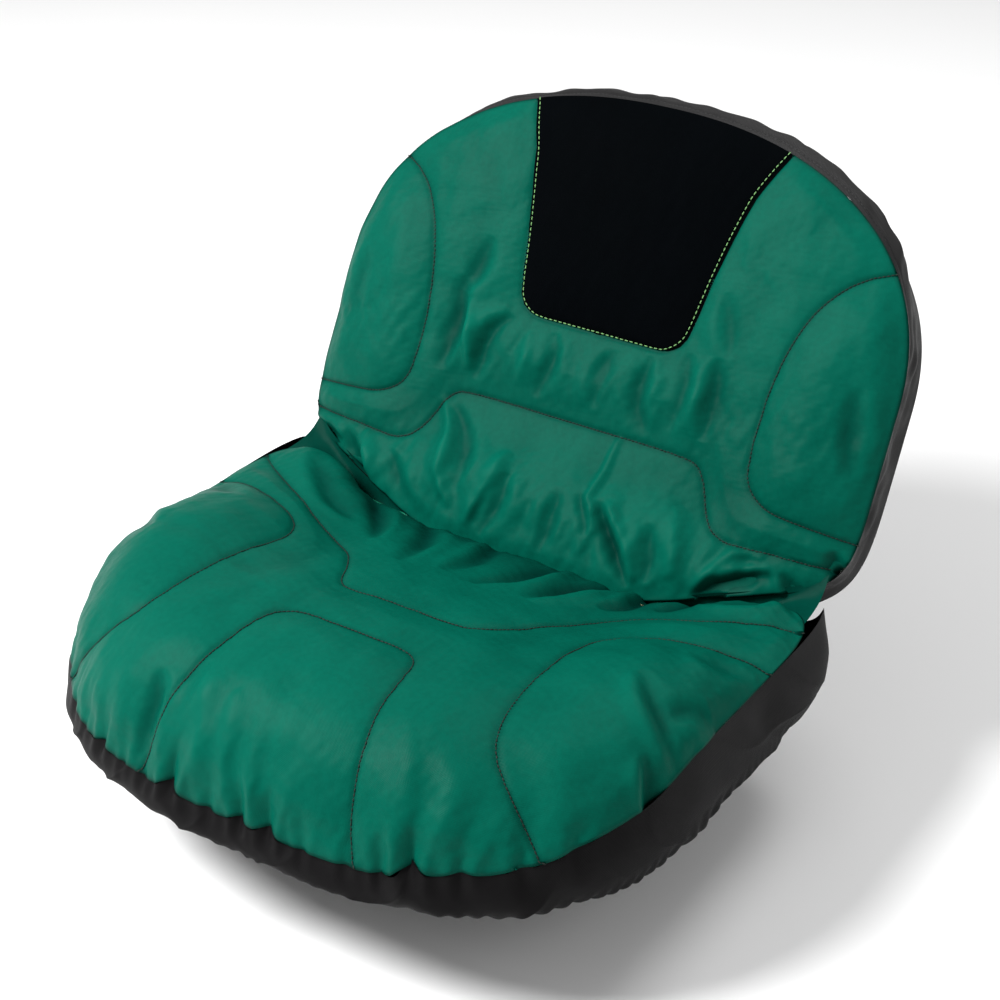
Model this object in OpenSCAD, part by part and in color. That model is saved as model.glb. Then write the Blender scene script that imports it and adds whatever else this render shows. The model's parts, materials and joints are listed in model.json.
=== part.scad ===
// Bucket seat of a riding mower in a padded fabric cover, on slide rails, coil springs and a
// tip-forward hinge. The origin is the centre of the base plate's bolt pattern, on its underside.
// +Z is up and the seat faces -Y. The soft parts are laid out in a seat frame of their own, whose
// height is measured from the cover's hem.

/* [Seat cushion] */
// Overall width of the seat cushion
seat_w = 486; // [420:1:540]
// Reach of the cushion from its middle line to the front lip
seat_front = 200; // [180:1:240]
// Reach of the cushion from its middle line to the crease
seat_rear = 152; // [140:1:185]
// Height of the cushion's crown above the hem, near the front
crown_z = 112; // [100:1:140]
// How far the cushion's top falls from the crown to the crease
crown_drop = 55; // [35:1:60]
// How far the side bolsters stand above the middle
seat_bolster = 16; // [0:1:30]
// Height of the panel seam above the hem, along the sides
side_seam_z = 80; // [66:1:90]
// How far the panel seam drops at the front lip
front_seam_drop = 50; // [20:1:54]

/* [Back] */
// Overall width of the back
back_w = 486; // [400:1:540]
// Height of the back along its slope
back_len = 350; // [290:1:420]
// Thickness of the back from its front seam to its rear seam
back_depth = 45; // [38:1:60]
// How far the front of the back is crowned
back_crown = 12; // [4:1:20]
// How far the back's side bolsters stand above its crown
back_bolster = 12; // [0:1:24]
// Slope of the back at its foot, in degrees from level
foot_slope = 38; // [30:1:50]
// Slope of the back above its bend, in degrees from level
top_slope = 62; // [55:1:75]

/* [Cover] */
// Thickness of the padded panels
pad_t = 8; // [4:0.5:10]
// Thickness of the plain skirt, gusset and rear fabric
cloth_t = 2.5; // [1.5:0.5:4]
// Half width of the head panel at its top
head_top = 111; // [80:1:130]
// Half width of the head panel at its bottom
head_bottom = 71; // [40:1:100]
// Height of the head panel's lower edge above the back's foot
head_low = 178; // [150:1:210]
// Height of the head panel's upper edge above the back's foot
head_high = 334; // [300:1:338]

/* [Pan and rails] */
// Thickness of the pan, the back shell and the plates
sheet_t = 3; // [2:0.5:4]
// Distance between the middles of the two slide rails
rail_gauge = 216; // [204:1:260]
// Length of each slide rail
rail_len = 230; // [200:1:260]
// Outside width of a lower rail
rail_w = 34; // [30:1:40]
// Fore and aft travel of the seat, each way from the middle
slide_travel = 50; // [25:1:60]

/* [Suspension and hinge] */
// Height of each coil spring at rest
spring_h = 33; // [28:1:45]
// Mean radius of the spring's coil
spring_r = 13; // [11:0.5:16]
// Radius of the spring wire
wire_r = 2; // [1.5:0.1:2.2]
// Travel of the suspension
spring_travel = 15; // [8:1:15]
// Side distance between the guide bolts
bolt_gauge_x = 100; // [80:1:108]
// Front to back distance between the guide bolts
bolt_gauge_y = 135; // [100:1:150]
// Radius of the hinge pin
pin_r = 5; // [4:0.5:6]
// Distance of the hinge axis in front of the origin
hinge_y = 140; // [135:1:150]
// Height of the hinge axis above the mounting face
hinge_z = 38; // [36:1:42]

/* [Base plate] */
// Width of the base bracket over its side flanges
base_w = 166; // [160:1:176]
// Length of the base plate
base_len = 216; // [200:1:230]
// Side distance between the mounting holes
mount_x = 120; // [100:1:125]
// Front to back distance between the mounting holes
mount_y = 160; // [140:1:180]
// Radius of the mounting holes
mount_r = 4.25; // [3.25:0.25:5.25]

/* [Hidden] */

// Facets round a bore or a bolt, and steps round a soft outline
round_steps = 48;
rim_steps = 48;

// Gaps: between pieces of one body, between bodies that slide, and radial in a running bore
fit_gap = 0.2;
body_gap = 0.4;
run_gap = 0.06;

// Heights of the stack from the mounting face up
tilt_z = 24;
carrier_z = tilt_z + sheet_t + spring_h;
rail_z = carrier_z + sheet_t;
rail_h = 13;
rail_wall = 2;
rail_mouth = 18;
rail_stack = 22;
pan_z = rail_z + rail_stack;
hem_to_pan = 8.4;
hem_z = pan_z - hem_to_pan;

// The seat frame: its middle line in front of its own origin, and its place over the base
seat_mid = -90;
seat_shift = 60;
crease_y = seat_mid + seat_rear;

// Squareness of the outlines: 2 is an ellipse, and a higher number is squarer
front_corner = 2.7;
rear_corner = 8;
foot_corner = 8;
top_corner = 2.25;

// Smooth step from 0 to 1
function ease(t) = let (u = min(1, max(0, t))) u * u * (3 - 2 * u);
// Distance from the middle to a squared ellipse in the direction [c, s]
function reach(c, s, half_w, half_l, n) =
    pow(pow(abs(c) / half_w, n) + pow(abs(s) / half_l, n), -1 / n);
function turns(n) = [for (i = [0:n - 1]) 360 * i / n];

// ---- Seat cushion surface ----

// How far the crease runs back at the sides, against the middle
sweep_y = 20;
function crease_sweep(x) = sweep_y * ease((abs(x) - seat_w / 4) / (seat_w / 4.4));

// Outline of the seat at an angle, drawn in by inset, as [x, y]
function seat_rim(a, inset, rear = seat_rear, swept = 0) =
    let (s = sin(a), front = s < 0,
        r = reach(cos(a), s, seat_w / 2 - inset, (front ? seat_front : rear) - inset,
            front ? front_corner : rear_corner), x = r * cos(a))
    [x, seat_mid + r * s * (1 + (front ? 0 : swept * crease_sweep(x) / rear))];

crown_y = seat_mid - seat_front / 2;
fall_len = 300;
bolster_start = 90;
bolster_len = 120;
lip_len = 120;
lip_drop = 6;
// Height of the cushion's top over the seat, before it rolls over at the edge
function seat_top(x, y) = crown_z - crown_drop * ease((y - crown_y) / fall_len)
    - lip_drop * ease((crown_y - y) / lip_len)
    + (seat_bolster + rear_bolster * ease((y - seat_mid - 90) / 60))
        * ease((abs(x) - bolster_start) / bolster_len) * ease((y - crown_y + 40) / 150);

rear_bolster = 10;
// Height of the seam between panel and skirt at the front and sides
function side_seam(y) = side_seam_z - front_seam_drop * ease((seat_mid - 5 - y) / (seat_front - 5));
crease_seam_drop = 33;
// Height of the cushion panel's edge, which dips along the crease
function panel_seam(x, y) = side_seam(y)
    - crease_seam_drop * ease((seat_w / 2 - 18 - abs(x)) / 60) * ease((y - crease_y + 32) / 30);
skirt_rear_drop = 48;
// Height of the skirt's top, which dips under the back
function skirt_top(y) = side_seam(y) - skirt_rear_drop * ease((y - crease_y - 3) / 60);

roll = 8;
// A ring of points on the cushion: share 0 is the middle and 1 the seam
function seat_ring(share, inset, lift) = [for (a = turns(rim_steps))
    let (e = seat_rim(a, inset, seat_rear, 1), x = e[0] * share,
        y = seat_mid + (e[1] - seat_mid) * share, w = pow(share, roll))
    [x, y, (seat_top(x, y) - lift) * (1 - w) + panel_seam(e[0], e[1]) * w]];

// ---- Back surface ----

crease_z = crown_z - crown_drop;
foot_y = crease_y + 4.3;
foot_z = crease_z + 6.6;
bend_start = 25;
bend_len = 60;
bend_r = bend_len / ((top_slope - foot_slope) * PI / 180);
back_mid = back_len / 2;

function back_slope(t) = foot_slope
    + (top_slope - foot_slope) * min(1, max(0, (t - bend_start) / bend_len));
// Reference line of the back, by distance from its foot, as [y, z]
function back_line(t) =
    let (a = back_slope(t), first = min(t, bend_start), over = max(0, t - bend_start - bend_len))
    [foot_y + first * cos(foot_slope) + bend_r * (sin(a) - sin(foot_slope)) + over * cos(top_slope),
     foot_z + first * sin(foot_slope) + bend_r * (cos(foot_slope) - cos(a)) + over * sin(top_slope)];
// A point at height h in front of the reference line; a negative h is behind it
function back_point(x, t, h) = let (p = back_line(t), a = back_slope(t))
    [x, p[0] - sin(a) * h, p[1] + cos(a) * h];

// How far the back's foot rises at the sides, to stay behind the crease
function foot_rise(x) = crease_sweep(x) / cos(foot_slope);
// Outline of the back at an angle, drawn in by inset, as [x, distance from the foot]
function back_rim(a, inset, foot_cut = 0) =
    let (s = sin(a), low = s < 0,
        r = reach(cos(a), s, back_w / 2 - inset, back_mid - inset - (low ? foot_cut : 0),
            low ? foot_corner : top_corner), x = r * cos(a))
    [x, back_mid + r * s * (1 - (low ? foot_rise(x) / back_mid : 0))];

// Height of the padded front over the reference line, before it rolls over at the edge
function back_front(x, t) = back_crown + back_bolster
    * ease((abs(x) - 110) / 80) * ease((back_len - 65 - t) / 100);

function back_ring(share, inset, lift) = [for (a = turns(rim_steps))
    let (e = back_rim(a, inset), x = e[0] * share, t = back_mid + (e[1] - back_mid) * share)
    back_point(x, t, (back_front(x, t) - lift) * (1 - pow(share, 6)))];

rear_bulge = 8;
foot_cut = 30;
function rear_depth(share, depth) = depth + rear_bulge * (1 - pow(share, 4));
function rear_ring(share, inset, depth) = [for (a = turns(rim_steps))
    let (e = back_rim(a, inset, foot_cut), x = e[0] * share,
        t = back_mid + (e[1] - back_mid) * share)
    back_point(x, t, -rear_depth(share, depth))];

// ---- Builders for soft solids ----

function flat(lists) = [for (list = lists) each list];
function reversed(list) = [for (i = [len(list) - 1:-1:0]) list[i]];
function middle(ring) = [for (k = [0:2]) (min([for (p = ring) p[k]]) + max([for (p = ring) p[k]])) / 2];

// Skin over rings of equal count; looped joins the last ring to the first, else the ends are fans
module skin(rings, looped = false) {
    n = len(rings[0]);
    m = len(rings);
    spans = looped ? m : m - 1;
    sides = [for (j = [0:spans - 1], i = [0:n - 1])
        let (a = j * n + i, b = j * n + (i + 1) % n, k = (j + 1) % m,
            c = k * n + (i + 1) % n, d = k * n + i)
        each [[a, b, c], [a, c, d]]];
    ends = looped ? [] : [for (i = [0:n - 1]) each
        [[m * n, (i + 1) % n, i], [m * n + 1, (m - 1) * n + i, (m - 1) * n + (i + 1) % n]]];
    tips = looped ? [] : [middle(rings[0]), middle(rings[m - 1])];
    polyhedron(points = concat(flat(rings), tips), faces = concat(sides, ends));
}

// Skin over flat loops whose second half runs back beside the first half
module band(rings) {
    n = len(rings[0]);
    m = len(rings);
    sides = [for (j = [0:m - 2], i = [0:n - 1])
        let (a = j * n + i, b = j * n + (i + 1) % n, c = a + n, d = b + n)
        each [[a, b, d], [a, d, c]]];
    half = n / 2;
    ends = [for (i = [0:half - 2]) let (a = i, b = i + 1, c = n - 2 - i, d = n - 1 - i, e = (m - 1) * n)
        each [[a, d, c], [a, c, b], [e + a, e + b, e + c], [e + a, e + c, e + d]]];
    polyhedron(points = flat(rings), faces = concat(sides, ends));
}

shares = [0.12, 0.32, 0.52, 0.7, 0.82, 0.9, 0.95, 0.98, 1];

module seat_frame() translate([0, seat_shift, hem_z]) children();

module tube(route, r, sides) {
    n = len(route);
    skin([for (i = [0:n - 1])
        let (ahead = route[min(n - 1, i + 1)] - route[max(0, i - 1)], d = ahead / norm(ahead),
            side = cross(d, [0, 0, 1]) / norm(cross(d, [0, 0, 1])), up = cross(side, d))
        [for (a = turns(sides)) route[i] + r * (cos(a) * up + sin(a) * side)]]);
}

// ---- Base bracket ----

base_x = base_w / 2;
base_back = base_len - mount_y / 2 - 18;
base_front = base_back - base_len;
eye_r = 11;
flange_h = 22;
bush_r = pin_r + 2;
bush_flange_r = pin_r + 4.5;
bush_flange_t = 1.5;
bumper_x = 45;
bumper_y = base_back - 20;
bumper_r = 12;
stem_r = 4;
arm_slack = 6;

// A cylinder along X, centred on [y, z], from x0 to x1
module rod_x(y, z, r, x0, x1) translate([x0, y, z]) rotate([0, 90, 0])
    cylinder(r = r, h = x1 - x0, $fn = round_steps);
// A cylinder along Z
module rod_z(x, y, r, z0, z1) translate([x, y, z0]) cylinder(r = r, h = z1 - z0, $fn = round_steps);
// A plate in the YZ plane, from x0 to x1, drawn as [y, z]
module side_plate(x0, x1) translate([x0, 0, 0]) rotate([90, 0, 90]) linear_extrude(x1 - x0) children();
module both_sides() {
    children();
    mirror([1, 0, 0]) children();
}

module base_plate() color("#2b2d30") difference() {
    union() {
        translate([-base_x, base_front, 0]) cube([base_w, base_len, sheet_t]);
        both_sides() side_plate(base_x - sheet_t, base_x) {
            polygon([[base_front, 0], [base_back, 0], [base_back, flange_h * 0.6],
                [base_back - 30, flange_h], [base_front + 10, flange_h + 2],
                [-hinge_y, hinge_z + eye_r], [-hinge_y - eye_r * 0.64, hinge_z - eye_r * 0.77]]);
            translate([-hinge_y, hinge_z]) circle(r = eye_r, $fn = round_steps);
        }
    }
    rod_x(-hinge_y, hinge_z, bush_r, -base_x - 1, base_x + 1);
    for (x = [-1, 1], y = [-1, 1])
        rod_z(x * mount_x / 2, y * mount_y / 2, mount_r, -1, sheet_t + 1);
    for (x = [-1, 1]) rod_z(x * bumper_x, bumper_y, stem_r, -1, sheet_t + 1);
}

module hinge_bush() color("#d9d5c8") difference() {
    union() {
        rod_x(-hinge_y, hinge_z, bush_r, base_x - sheet_t, base_x);
        rod_x(-hinge_y, hinge_z, bush_flange_r, base_x - sheet_t - bush_flange_t, base_x - sheet_t);
    }
    rod_x(-hinge_y, hinge_z, pin_r + run_gap, base_x - sheet_t - bush_flange_t - 1, base_x + 1);
}
module hinge_bush_left() mirror([1, 0, 0]) hinge_bush();
module hinge_bush_right() hinge_bush();

bumper_top = tilt_z - body_gap;
module bumper() color("#1c1c1c") translate([bumper_x, bumper_y, 0]) rotate_extrude($fn = round_steps)
    polygon([[0, 0], [stem_r, 0], [stem_r, sheet_t], [bumper_r, sheet_t],
        [bumper_r - 1, bumper_top - 3], [bumper_r - 4, bumper_top], [0, bumper_top]]);
module bumper_left() mirror([1, 0, 0]) bumper();
module bumper_right() bumper();

// ---- Tilt frame, hinge pin and springs ----

tilt_x = base_x - sheet_t - bush_flange_t - body_gap;
tilt_front = -hinge_y + eye_r + 12;
tilt_back = base_back;
tilt_flange_low = 12;
bolt_r = 5;
bolt_mid_y = 7;
function bolt_places() = [for (x = [-1, 1], y = [-1, 1])
    [x * bolt_gauge_x / 2, bolt_mid_y + y * bolt_gauge_y / 2]];

module tilt_frame() color("#2b2d30") difference() {
    union() {
        translate([-tilt_x, tilt_front, tilt_z]) cube([2 * tilt_x, tilt_back - tilt_front, sheet_t]);
        both_sides() side_plate(tilt_x - sheet_t, tilt_x) {
            polygon([[-hinge_y, hinge_z - eye_r], [tilt_front + 14, tilt_flange_low],
                [tilt_back - 12, tilt_flange_low], [tilt_back, tilt_z], [tilt_back, tilt_z + sheet_t],
                [tilt_front, tilt_z + sheet_t], [-hinge_y, hinge_z + eye_r]]);
            translate([-hinge_y, hinge_z]) circle(r = eye_r, $fn = round_steps);
        }
    }
    rod_x(-hinge_y, hinge_z, pin_r, -base_x, base_x);
    for (p = bolt_places()) rod_z(p[0], p[1], bolt_r, tilt_z - 1, tilt_z + sheet_t + 1);
}

pin_head_t = 3;
groove_t = 1.2;
groove_r = pin_r - 0.8;
pin_out = base_x + body_gap;
clip_x = -pin_out - groove_t;
module hinge_pin() color("#b9bcc0") difference() {
    union() {
        rod_x(-hinge_y, hinge_z, pin_r, clip_x - 3, pin_out);
        rod_x(-hinge_y, hinge_z, pin_r + 3, pin_out, pin_out + pin_head_t);
    }
    difference() {
        rod_x(-hinge_y, hinge_z, pin_r + 1, clip_x, clip_x + groove_t);
        rod_x(-hinge_y, hinge_z, groove_r, clip_x - 1, clip_x + groove_t + 1);
    }
}
module pin_clip() color("#8e9297") difference() {
    rod_x(-hinge_y, hinge_z, pin_r + 3, clip_x, clip_x + groove_t);
    rod_x(-hinge_y, hinge_z, groove_r, clip_x - 1, clip_x + groove_t + 1);
    translate([clip_x - 1, -hinge_y - groove_r * 0.8, hinge_z - pin_r - 4])
        cube([groove_t + 2, groove_r * 1.6, pin_r + 4]);
}

bolt_head_r = 9;
bolt_head_t = 4;
bolt_under = rail_z + body_gap;
nut_t = 6;
module hex(x, y, r, z0, z1) translate([x, y, z0]) cylinder(r = r, h = z1 - z0, $fn = 6);
module guide_bolts() color("#b9bcc0") for (p = bolt_places()) {
    rod_z(p[0], p[1], bolt_r, tilt_z - nut_t - 2, bolt_under);
    hex(p[0], p[1], bolt_head_r, bolt_under, bolt_under + bolt_head_t);
    hex(p[0], p[1], bolt_head_r, tilt_z - nut_t, tilt_z);
}

coil_turns = 4.5;
coil_steps = 16;
module coil_spring(x, y) color("#9aa0a6") {
    low = tilt_z + sheet_t + wire_r + body_gap;
    high = carrier_z - wire_r - body_gap;
    steps = coil_turns * coil_steps;
    tube([for (i = [0:steps]) let (a = 360 * i / coil_steps)
        [x + spring_r * cos(a), y + spring_r * sin(a), low + (high - low) * i / steps]], wire_r, 6);
}
module spring_front_left() coil_spring(bolt_places()[0][0], bolt_places()[0][1]);
module spring_rear_left() coil_spring(bolt_places()[1][0], bolt_places()[1][1]);
module spring_front_right() coil_spring(bolt_places()[2][0], bolt_places()[2][1]);
module spring_rear_right() coil_spring(bolt_places()[3][0], bolt_places()[3][1]);

// ---- Carrier and lower rails ----

rail_x = rail_gauge / 2;
carrier_x = rail_x + rail_w / 2 + 4;
carrier_front = tilt_front - 4;
carrier_back = rail_len / 2;
rivet_r = 3;
rivet_y = rail_len / 2 - 35;
rivet_head_r = 5.5;
bolt_clear = 0.6;
function rivet_places() = [for (x = [-1, 1], y = [-1, 1]) [x * rail_x, y * rivet_y]];

module rivet_cut() for (p = rivet_places()) rod_z(p[0], p[1], rivet_r, carrier_z - 1, rail_z + 1);
module carrier_plate() color("#2b2d30") difference() {
    translate([-carrier_x, carrier_front, carrier_z])
        cube([2 * carrier_x, carrier_back - carrier_front, sheet_t]);
    for (p = bolt_places()) rod_z(p[0], p[1], bolt_r + bolt_clear, carrier_z - 1, rail_z + 1);
    rivet_cut();
}

// Cuts a profile drawn as [x, z] over a rail's length
module along_rail(x, length) translate([x, length / 2, 0]) rotate([90, 0, 0])
    linear_extrude(length) children();
module rivet_head(p, slack) translate([p[0], p[1], rail_z])
    cylinder(r1 = rivet_r, r2 = rivet_head_r, h = rail_wall + slack, $fn = round_steps);
module lower_rail(side) color("#8e9297") difference() {
    along_rail(side * rail_x, rail_len) difference() {
        translate([-rail_w / 2, rail_z]) square([rail_w, rail_h]);
        translate([-rail_w / 2 + rail_wall, rail_z + rail_wall])
            square([rail_w - 2 * rail_wall, rail_h - 2 * rail_wall]);
        translate([-rail_mouth / 2, rail_z + rail_h - rail_wall - 1]) square([rail_mouth, rail_wall + 2]);
    }
    for (y = [-1, 1]) rivet_head([side * rail_x, y * rivet_y], 0);
}
module lower_rail_left() lower_rail(-1);
module lower_rail_right() lower_rail(1);
module rail_rivets() color("#b9bcc0") for (p = rivet_places()) {
    rod_z(p[0], p[1], rivet_r, carrier_z - 1, rail_z);
    rod_z(p[0], p[1], rivet_head_r, carrier_z - 3, carrier_z);
    rivet_head(p, 0);
}

// ---- Upper rails, shoes and clamp ----

web_t = 5;
foot_w = 24;
foot_t = 2.5;
foot_rail_z = rail_z + 5.5;
top_flange_w = 34;
shoe_len = 26;
shoe_y = rail_len / 2 - shoe_len / 2 - 2;
pan_bolt_r = 3;
pan_bolt_x = 10;
pan_bolt_y = rail_len / 2 - 20;
function pan_bolt_places() = [for (x = [-1, 1], y = [-1, 1])
    [x * (rail_x + pan_bolt_x), y * pan_bolt_y]];

module upper_profile() {
    translate([-foot_w / 2, foot_rail_z]) square([foot_w, foot_t]);
    translate([-web_t / 2, foot_rail_z]) square([web_t, pan_z - foot_rail_z]);
    translate([-top_flange_w / 2, pan_z - foot_t]) square([top_flange_w, foot_t]);
}
module upper_rail(side) color("#8e9297") difference() {
    along_rail(side * rail_x, rail_len) upper_profile();
    for (y = [-1, 1])
        rod_z(side * (rail_x + pan_bolt_x), y * pan_bolt_y, pan_bolt_r, pan_z - foot_t - 1, pan_z + 1);
}
module upper_rail_left() upper_rail(-1);
module upper_rail_right() upper_rail(1);

shoe_w = rail_w - 2 * rail_wall - 2 * body_gap;
shoe_low = rail_z + rail_wall + body_gap;
shoe_high = rail_z + rail_h - rail_wall - body_gap;
module slide_shoes(side) color("#e4e0d2") for (y = [-1, 1]) translate([0, y * shoe_y, 0])
    along_rail(side * rail_x, shoe_len) difference() {
        translate([-shoe_w / 2, shoe_low]) square([shoe_w, shoe_high - shoe_low]);
        translate([-foot_w / 2, foot_rail_z]) square([foot_w, foot_t]);
        translate([-web_t / 2, foot_rail_z]) square([web_t, rail_h]);
    }
module slide_shoes_left() slide_shoes(-1);
module slide_shoes_right() slide_shoes(1);

screw_r = 4;
screw_y = 0;
screw_z = rail_z + 7;
bracket_x = -rail_x - rail_w / 2 - 16;
bracket_len = 36;
pad_x = -rail_x - rail_w / 2 - body_gap;
clamp_pad_t = 4;
knob_r = 14;
knob_t = 18;
knob_x = bracket_x - 6;
knob_lobes = 5;
module clamp_bracket() color("#2b2d30") difference() {
    union() {
        translate([bracket_x - sheet_t, -bracket_len / 2, screw_z - 9])
            cube([sheet_t, bracket_len, pan_z - screw_z + 9]);
        translate([bracket_x, -bracket_len / 2, pan_z - sheet_t])
            cube([-rail_x - top_flange_w / 2 - fit_gap - bracket_x, bracket_len, sheet_t]);
    }
    rod_x(screw_y, screw_z, screw_r + run_gap, bracket_x - sheet_t - 1, bracket_x + 1);
}
pad_back = pad_x - clamp_pad_t;
tip_r = 2;
module clamp_pad() color("#1c1c1c") difference() {
    rod_x(screw_y, screw_z, 6, pad_back, pad_x);
    rod_x(screw_y, screw_z, tip_r + run_gap, pad_back - 1, pad_back + clamp_pad_t / 2);
}
module clamp_screw() color("#b9bcc0") {
    rod_x(screw_y, screw_z, screw_r, knob_x - knob_t / 2, pad_back - body_gap);
    rod_x(screw_y, screw_z, tip_r, pad_back - body_gap - 1, pad_back + clamp_pad_t / 2 - body_gap);
}
module clamp_knob() color("#161719") difference() {
    union() {
        rod_x(screw_y, screw_z, knob_r * 0.72, knob_x - knob_t, knob_x - 4);
        rod_x(screw_y, screw_z, knob_r * 0.5, knob_x - 4, knob_x);
        for (a = turns(knob_lobes))
            rod_x(screw_y + knob_r * 0.68 * cos(a), screw_z + knob_r * 0.68 * sin(a), knob_r * 0.3,
                knob_x - knob_t, knob_x - 6);
    }
    rod_x(screw_y, screw_z, screw_r, knob_x - knob_t / 2, knob_x + 1);
}

// ---- Pan and back shell ----

pan_inset = 16.5;
pan_rim_h = 18;
pan_rear = crease_y - seat_mid + 53;
pan_back_y = seat_mid + pan_rear - pan_inset;
lap_w = min(seat_w, back_w) * 0.62;
lap_h = 34;
lap_wall = sheet_t + fit_gap;
lap_bolt_z = 19;
lap_bolt_r = 3;
lap_bolt_xs = [for (k = [-1.5:1:1.5]) k * lap_w / 4.6];
switch_y = 0;
switch_bore_r = 7;

module pan_outline(inset) polygon([for (a = turns(2 * rim_steps)) seat_rim(a, inset, pan_rear)]);
module lap_bolt_cut() for (x = lap_bolt_xs) translate([x, pan_back_y + 10, hem_to_pan + lap_bolt_z])
    rotate([90, 0, 0]) cylinder(r = lap_bolt_r, h = 20, $fn = round_steps);
switch_ear_x = 20;
switch_screw_r = 2;

module seat_pan() color("#232527") difference() {
    seat_frame() difference() {
        union() {
            translate([0, 0, hem_to_pan]) linear_extrude(sheet_t) pan_outline(pan_inset);
            translate([0, 0, hem_to_pan]) linear_extrude(pan_rim_h) difference() {
                pan_outline(pan_inset);
                pan_outline(pan_inset + sheet_t);
            }
            translate([-lap_w / 2, pan_back_y - lap_wall, hem_to_pan]) cube([lap_w, lap_wall, lap_h]);
        }
        lap_bolt_cut();
    }
    for (p = pan_bolt_places()) rod_z(p[0], p[1], pan_bolt_r, pan_z - 1, pan_z + sheet_t + 1);
    rod_z(0, switch_y, switch_bore_r + 1, pan_z - 1, pan_z + sheet_t + 1);
    for (x = [-1, 1]) rod_z(x * switch_ear_x, switch_y, switch_screw_r, pan_z - 1, pan_z + sheet_t + 1);
}

shell_depth = back_depth - 7;
shell_inset = 20;
// First station on the back whose shell stands clear behind the pan's lap
shell_start = max(0, (pan_back_y + fit_gap - foot_y - sin(foot_slope) * shell_depth)
    / cos(foot_slope));
shell_stations = concat([shell_start], [for (k = [0:6]) bend_start + bend_len * k / 6],
    [back_len - shell_inset]);
function shell_side(h) = [for (t = shell_stations) let (p = back_point(0, t, -h)) [p[1], p[2]]];
shell_foot = back_point(0, shell_start, -shell_depth - sheet_t);
module back_shell() color("#232527") seat_frame() difference() {
    union() {
        intersection() {
            side_plate(-back_w / 2, back_w / 2)
                polygon(concat(shell_side(shell_depth), reversed(shell_side(shell_depth + sheet_t))));
            translate(back_point(0, bend_start + bend_len, 0)) rotate([top_slope, 0, 0])
                translate([0, -bend_start - bend_len, -back_len / 2]) linear_extrude(back_len)
                union() {
                    polygon([for (a = turns(2 * rim_steps)) back_rim(a, shell_inset)]);
                    translate([-lap_w / 2, -bend_len]) square([lap_w, back_mid]);
                }
        }
        translate([-lap_w / 2, pan_back_y + fit_gap, hem_to_pan + 4])
            cube([lap_w, sheet_t, shell_foot[2] - hem_to_pan - 2]);
    }
    lap_bolt_cut();
}

module pan_bolts() color("#b9bcc0") for (p = pan_bolt_places()) {
    hex(p[0], p[1], 5.5, pan_z - foot_t - 4, pan_z - foot_t);
    rod_z(p[0], p[1], pan_bolt_r, pan_z - foot_t - 1, pan_z + sheet_t);
}
lap_t = lap_wall + fit_gap + sheet_t;
module back_bolts() color("#b9bcc0") seat_frame() for (x = lap_bolt_xs)
    translate([x, pan_back_y + sheet_t + fit_gap, hem_to_pan + lap_bolt_z]) rotate([90, 0, 0]) {
        translate([0, 0, -4]) cylinder(r = 5.5, h = 4, $fn = 6);
        cylinder(r = lap_bolt_r, h = lap_t, $fn = round_steps);
        translate([0, 0, lap_t]) cylinder(r = 5.5, h = 4, $fn = 6);
    }

// ---- Seat switch ----

switch_drop = 20;
switch_travel = 4;
switch_low = pan_z - switch_drop;
module switch_body() color("#17181a") difference() {
    union() {
        translate([-14, switch_y - 12, switch_low]) cube([28, 24, switch_drop]);
        translate([-switch_ear_x - 6, switch_y - 8, pan_z - sheet_t])
            cube([2 * switch_ear_x + 12, 16, sheet_t]);
    }
    rod_z(0, switch_y, switch_bore_r + run_gap, switch_low + 1.2, pan_z + 1);
    for (x = [-1, 1])
        rod_z(x * switch_ear_x, switch_y, switch_screw_r, pan_z - sheet_t - 1, pan_z + 1);
}
module switch_screws() color("#b9bcc0") for (x = [-1, 1]) {
    rod_z(x * switch_ear_x, switch_y, 4, pan_z - sheet_t - 2.5, pan_z - sheet_t);
    rod_z(x * switch_ear_x, switch_y, switch_screw_r, pan_z - sheet_t - 1, pan_z + sheet_t);
}
module switch_plunger() color("#c8c9c4") rod_z(0, switch_y, switch_bore_r,
    switch_low + 1.2 + switch_travel + body_gap, pan_z + sheet_t - fit_gap);

// ---- Foams ----

foam_low = hem_to_pan + sheet_t + fit_gap;
foam_inset = pan_inset + sheet_t + 5;
foam_slack = 3;
function foam_wall_ring(inset, drop) = [for (a = turns(rim_steps))
    let (e = seat_rim(a, inset, seat_rear, 1)) [e[0], e[1], panel_seam(e[0], e[1]) - drop]];
module seat_foam() color("#d8cf9f") seat_frame() skin(concat(
    [for (k = shares) seat_ring(k, pad_t + 2, pad_t + foam_slack)],
    [foam_wall_ring(foam_inset, 5)],
    [[for (a = turns(rim_steps)) let (e = seat_rim(a, foam_inset, seat_rear, 1))
        [e[0], e[1], foam_low]]]));

foam_depth = shell_depth - 2;
back_foam_inset = 17;
function back_layer(share, inset, h) = [for (a = turns(rim_steps))
    let (e = back_rim(a, inset)) back_point(e[0] * share, back_mid + (e[1] - back_mid) * share, h)];
module back_foam() color("#d8cf9f") seat_frame() skin(concat(
    [for (k = shares) back_ring(k, pad_t + 2, pad_t + foam_slack)],
    [back_layer(1, back_foam_inset, -6)],
    [for (k = reversed(shares)) back_layer(k, back_foam_inset, -foam_depth)]));

// ---- Cover ----

module cover_seat_panel() color("#05856a") seat_frame() skin(concat(
    [for (k = shares) seat_ring(k, 0, 0)], [for (k = reversed(shares)) seat_ring(k, pad_t, pad_t)]));

skirt_rear = skirt_back_y() - seat_mid;
function skirt_back_y() = pan_back_y + 26;
skirt_bulge = 4;
skirt_low = [3, 7];
hem_turn = 26;
hem_bend = 12;
// A loop of [inset, height] pairs set on the skirt's outline at an angle
function skirt_loop(a, line) =
    [for (p = line) let (e = seat_rim(a, p[0], skirt_rear)) [e[0], e[1], p[1]]];
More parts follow.
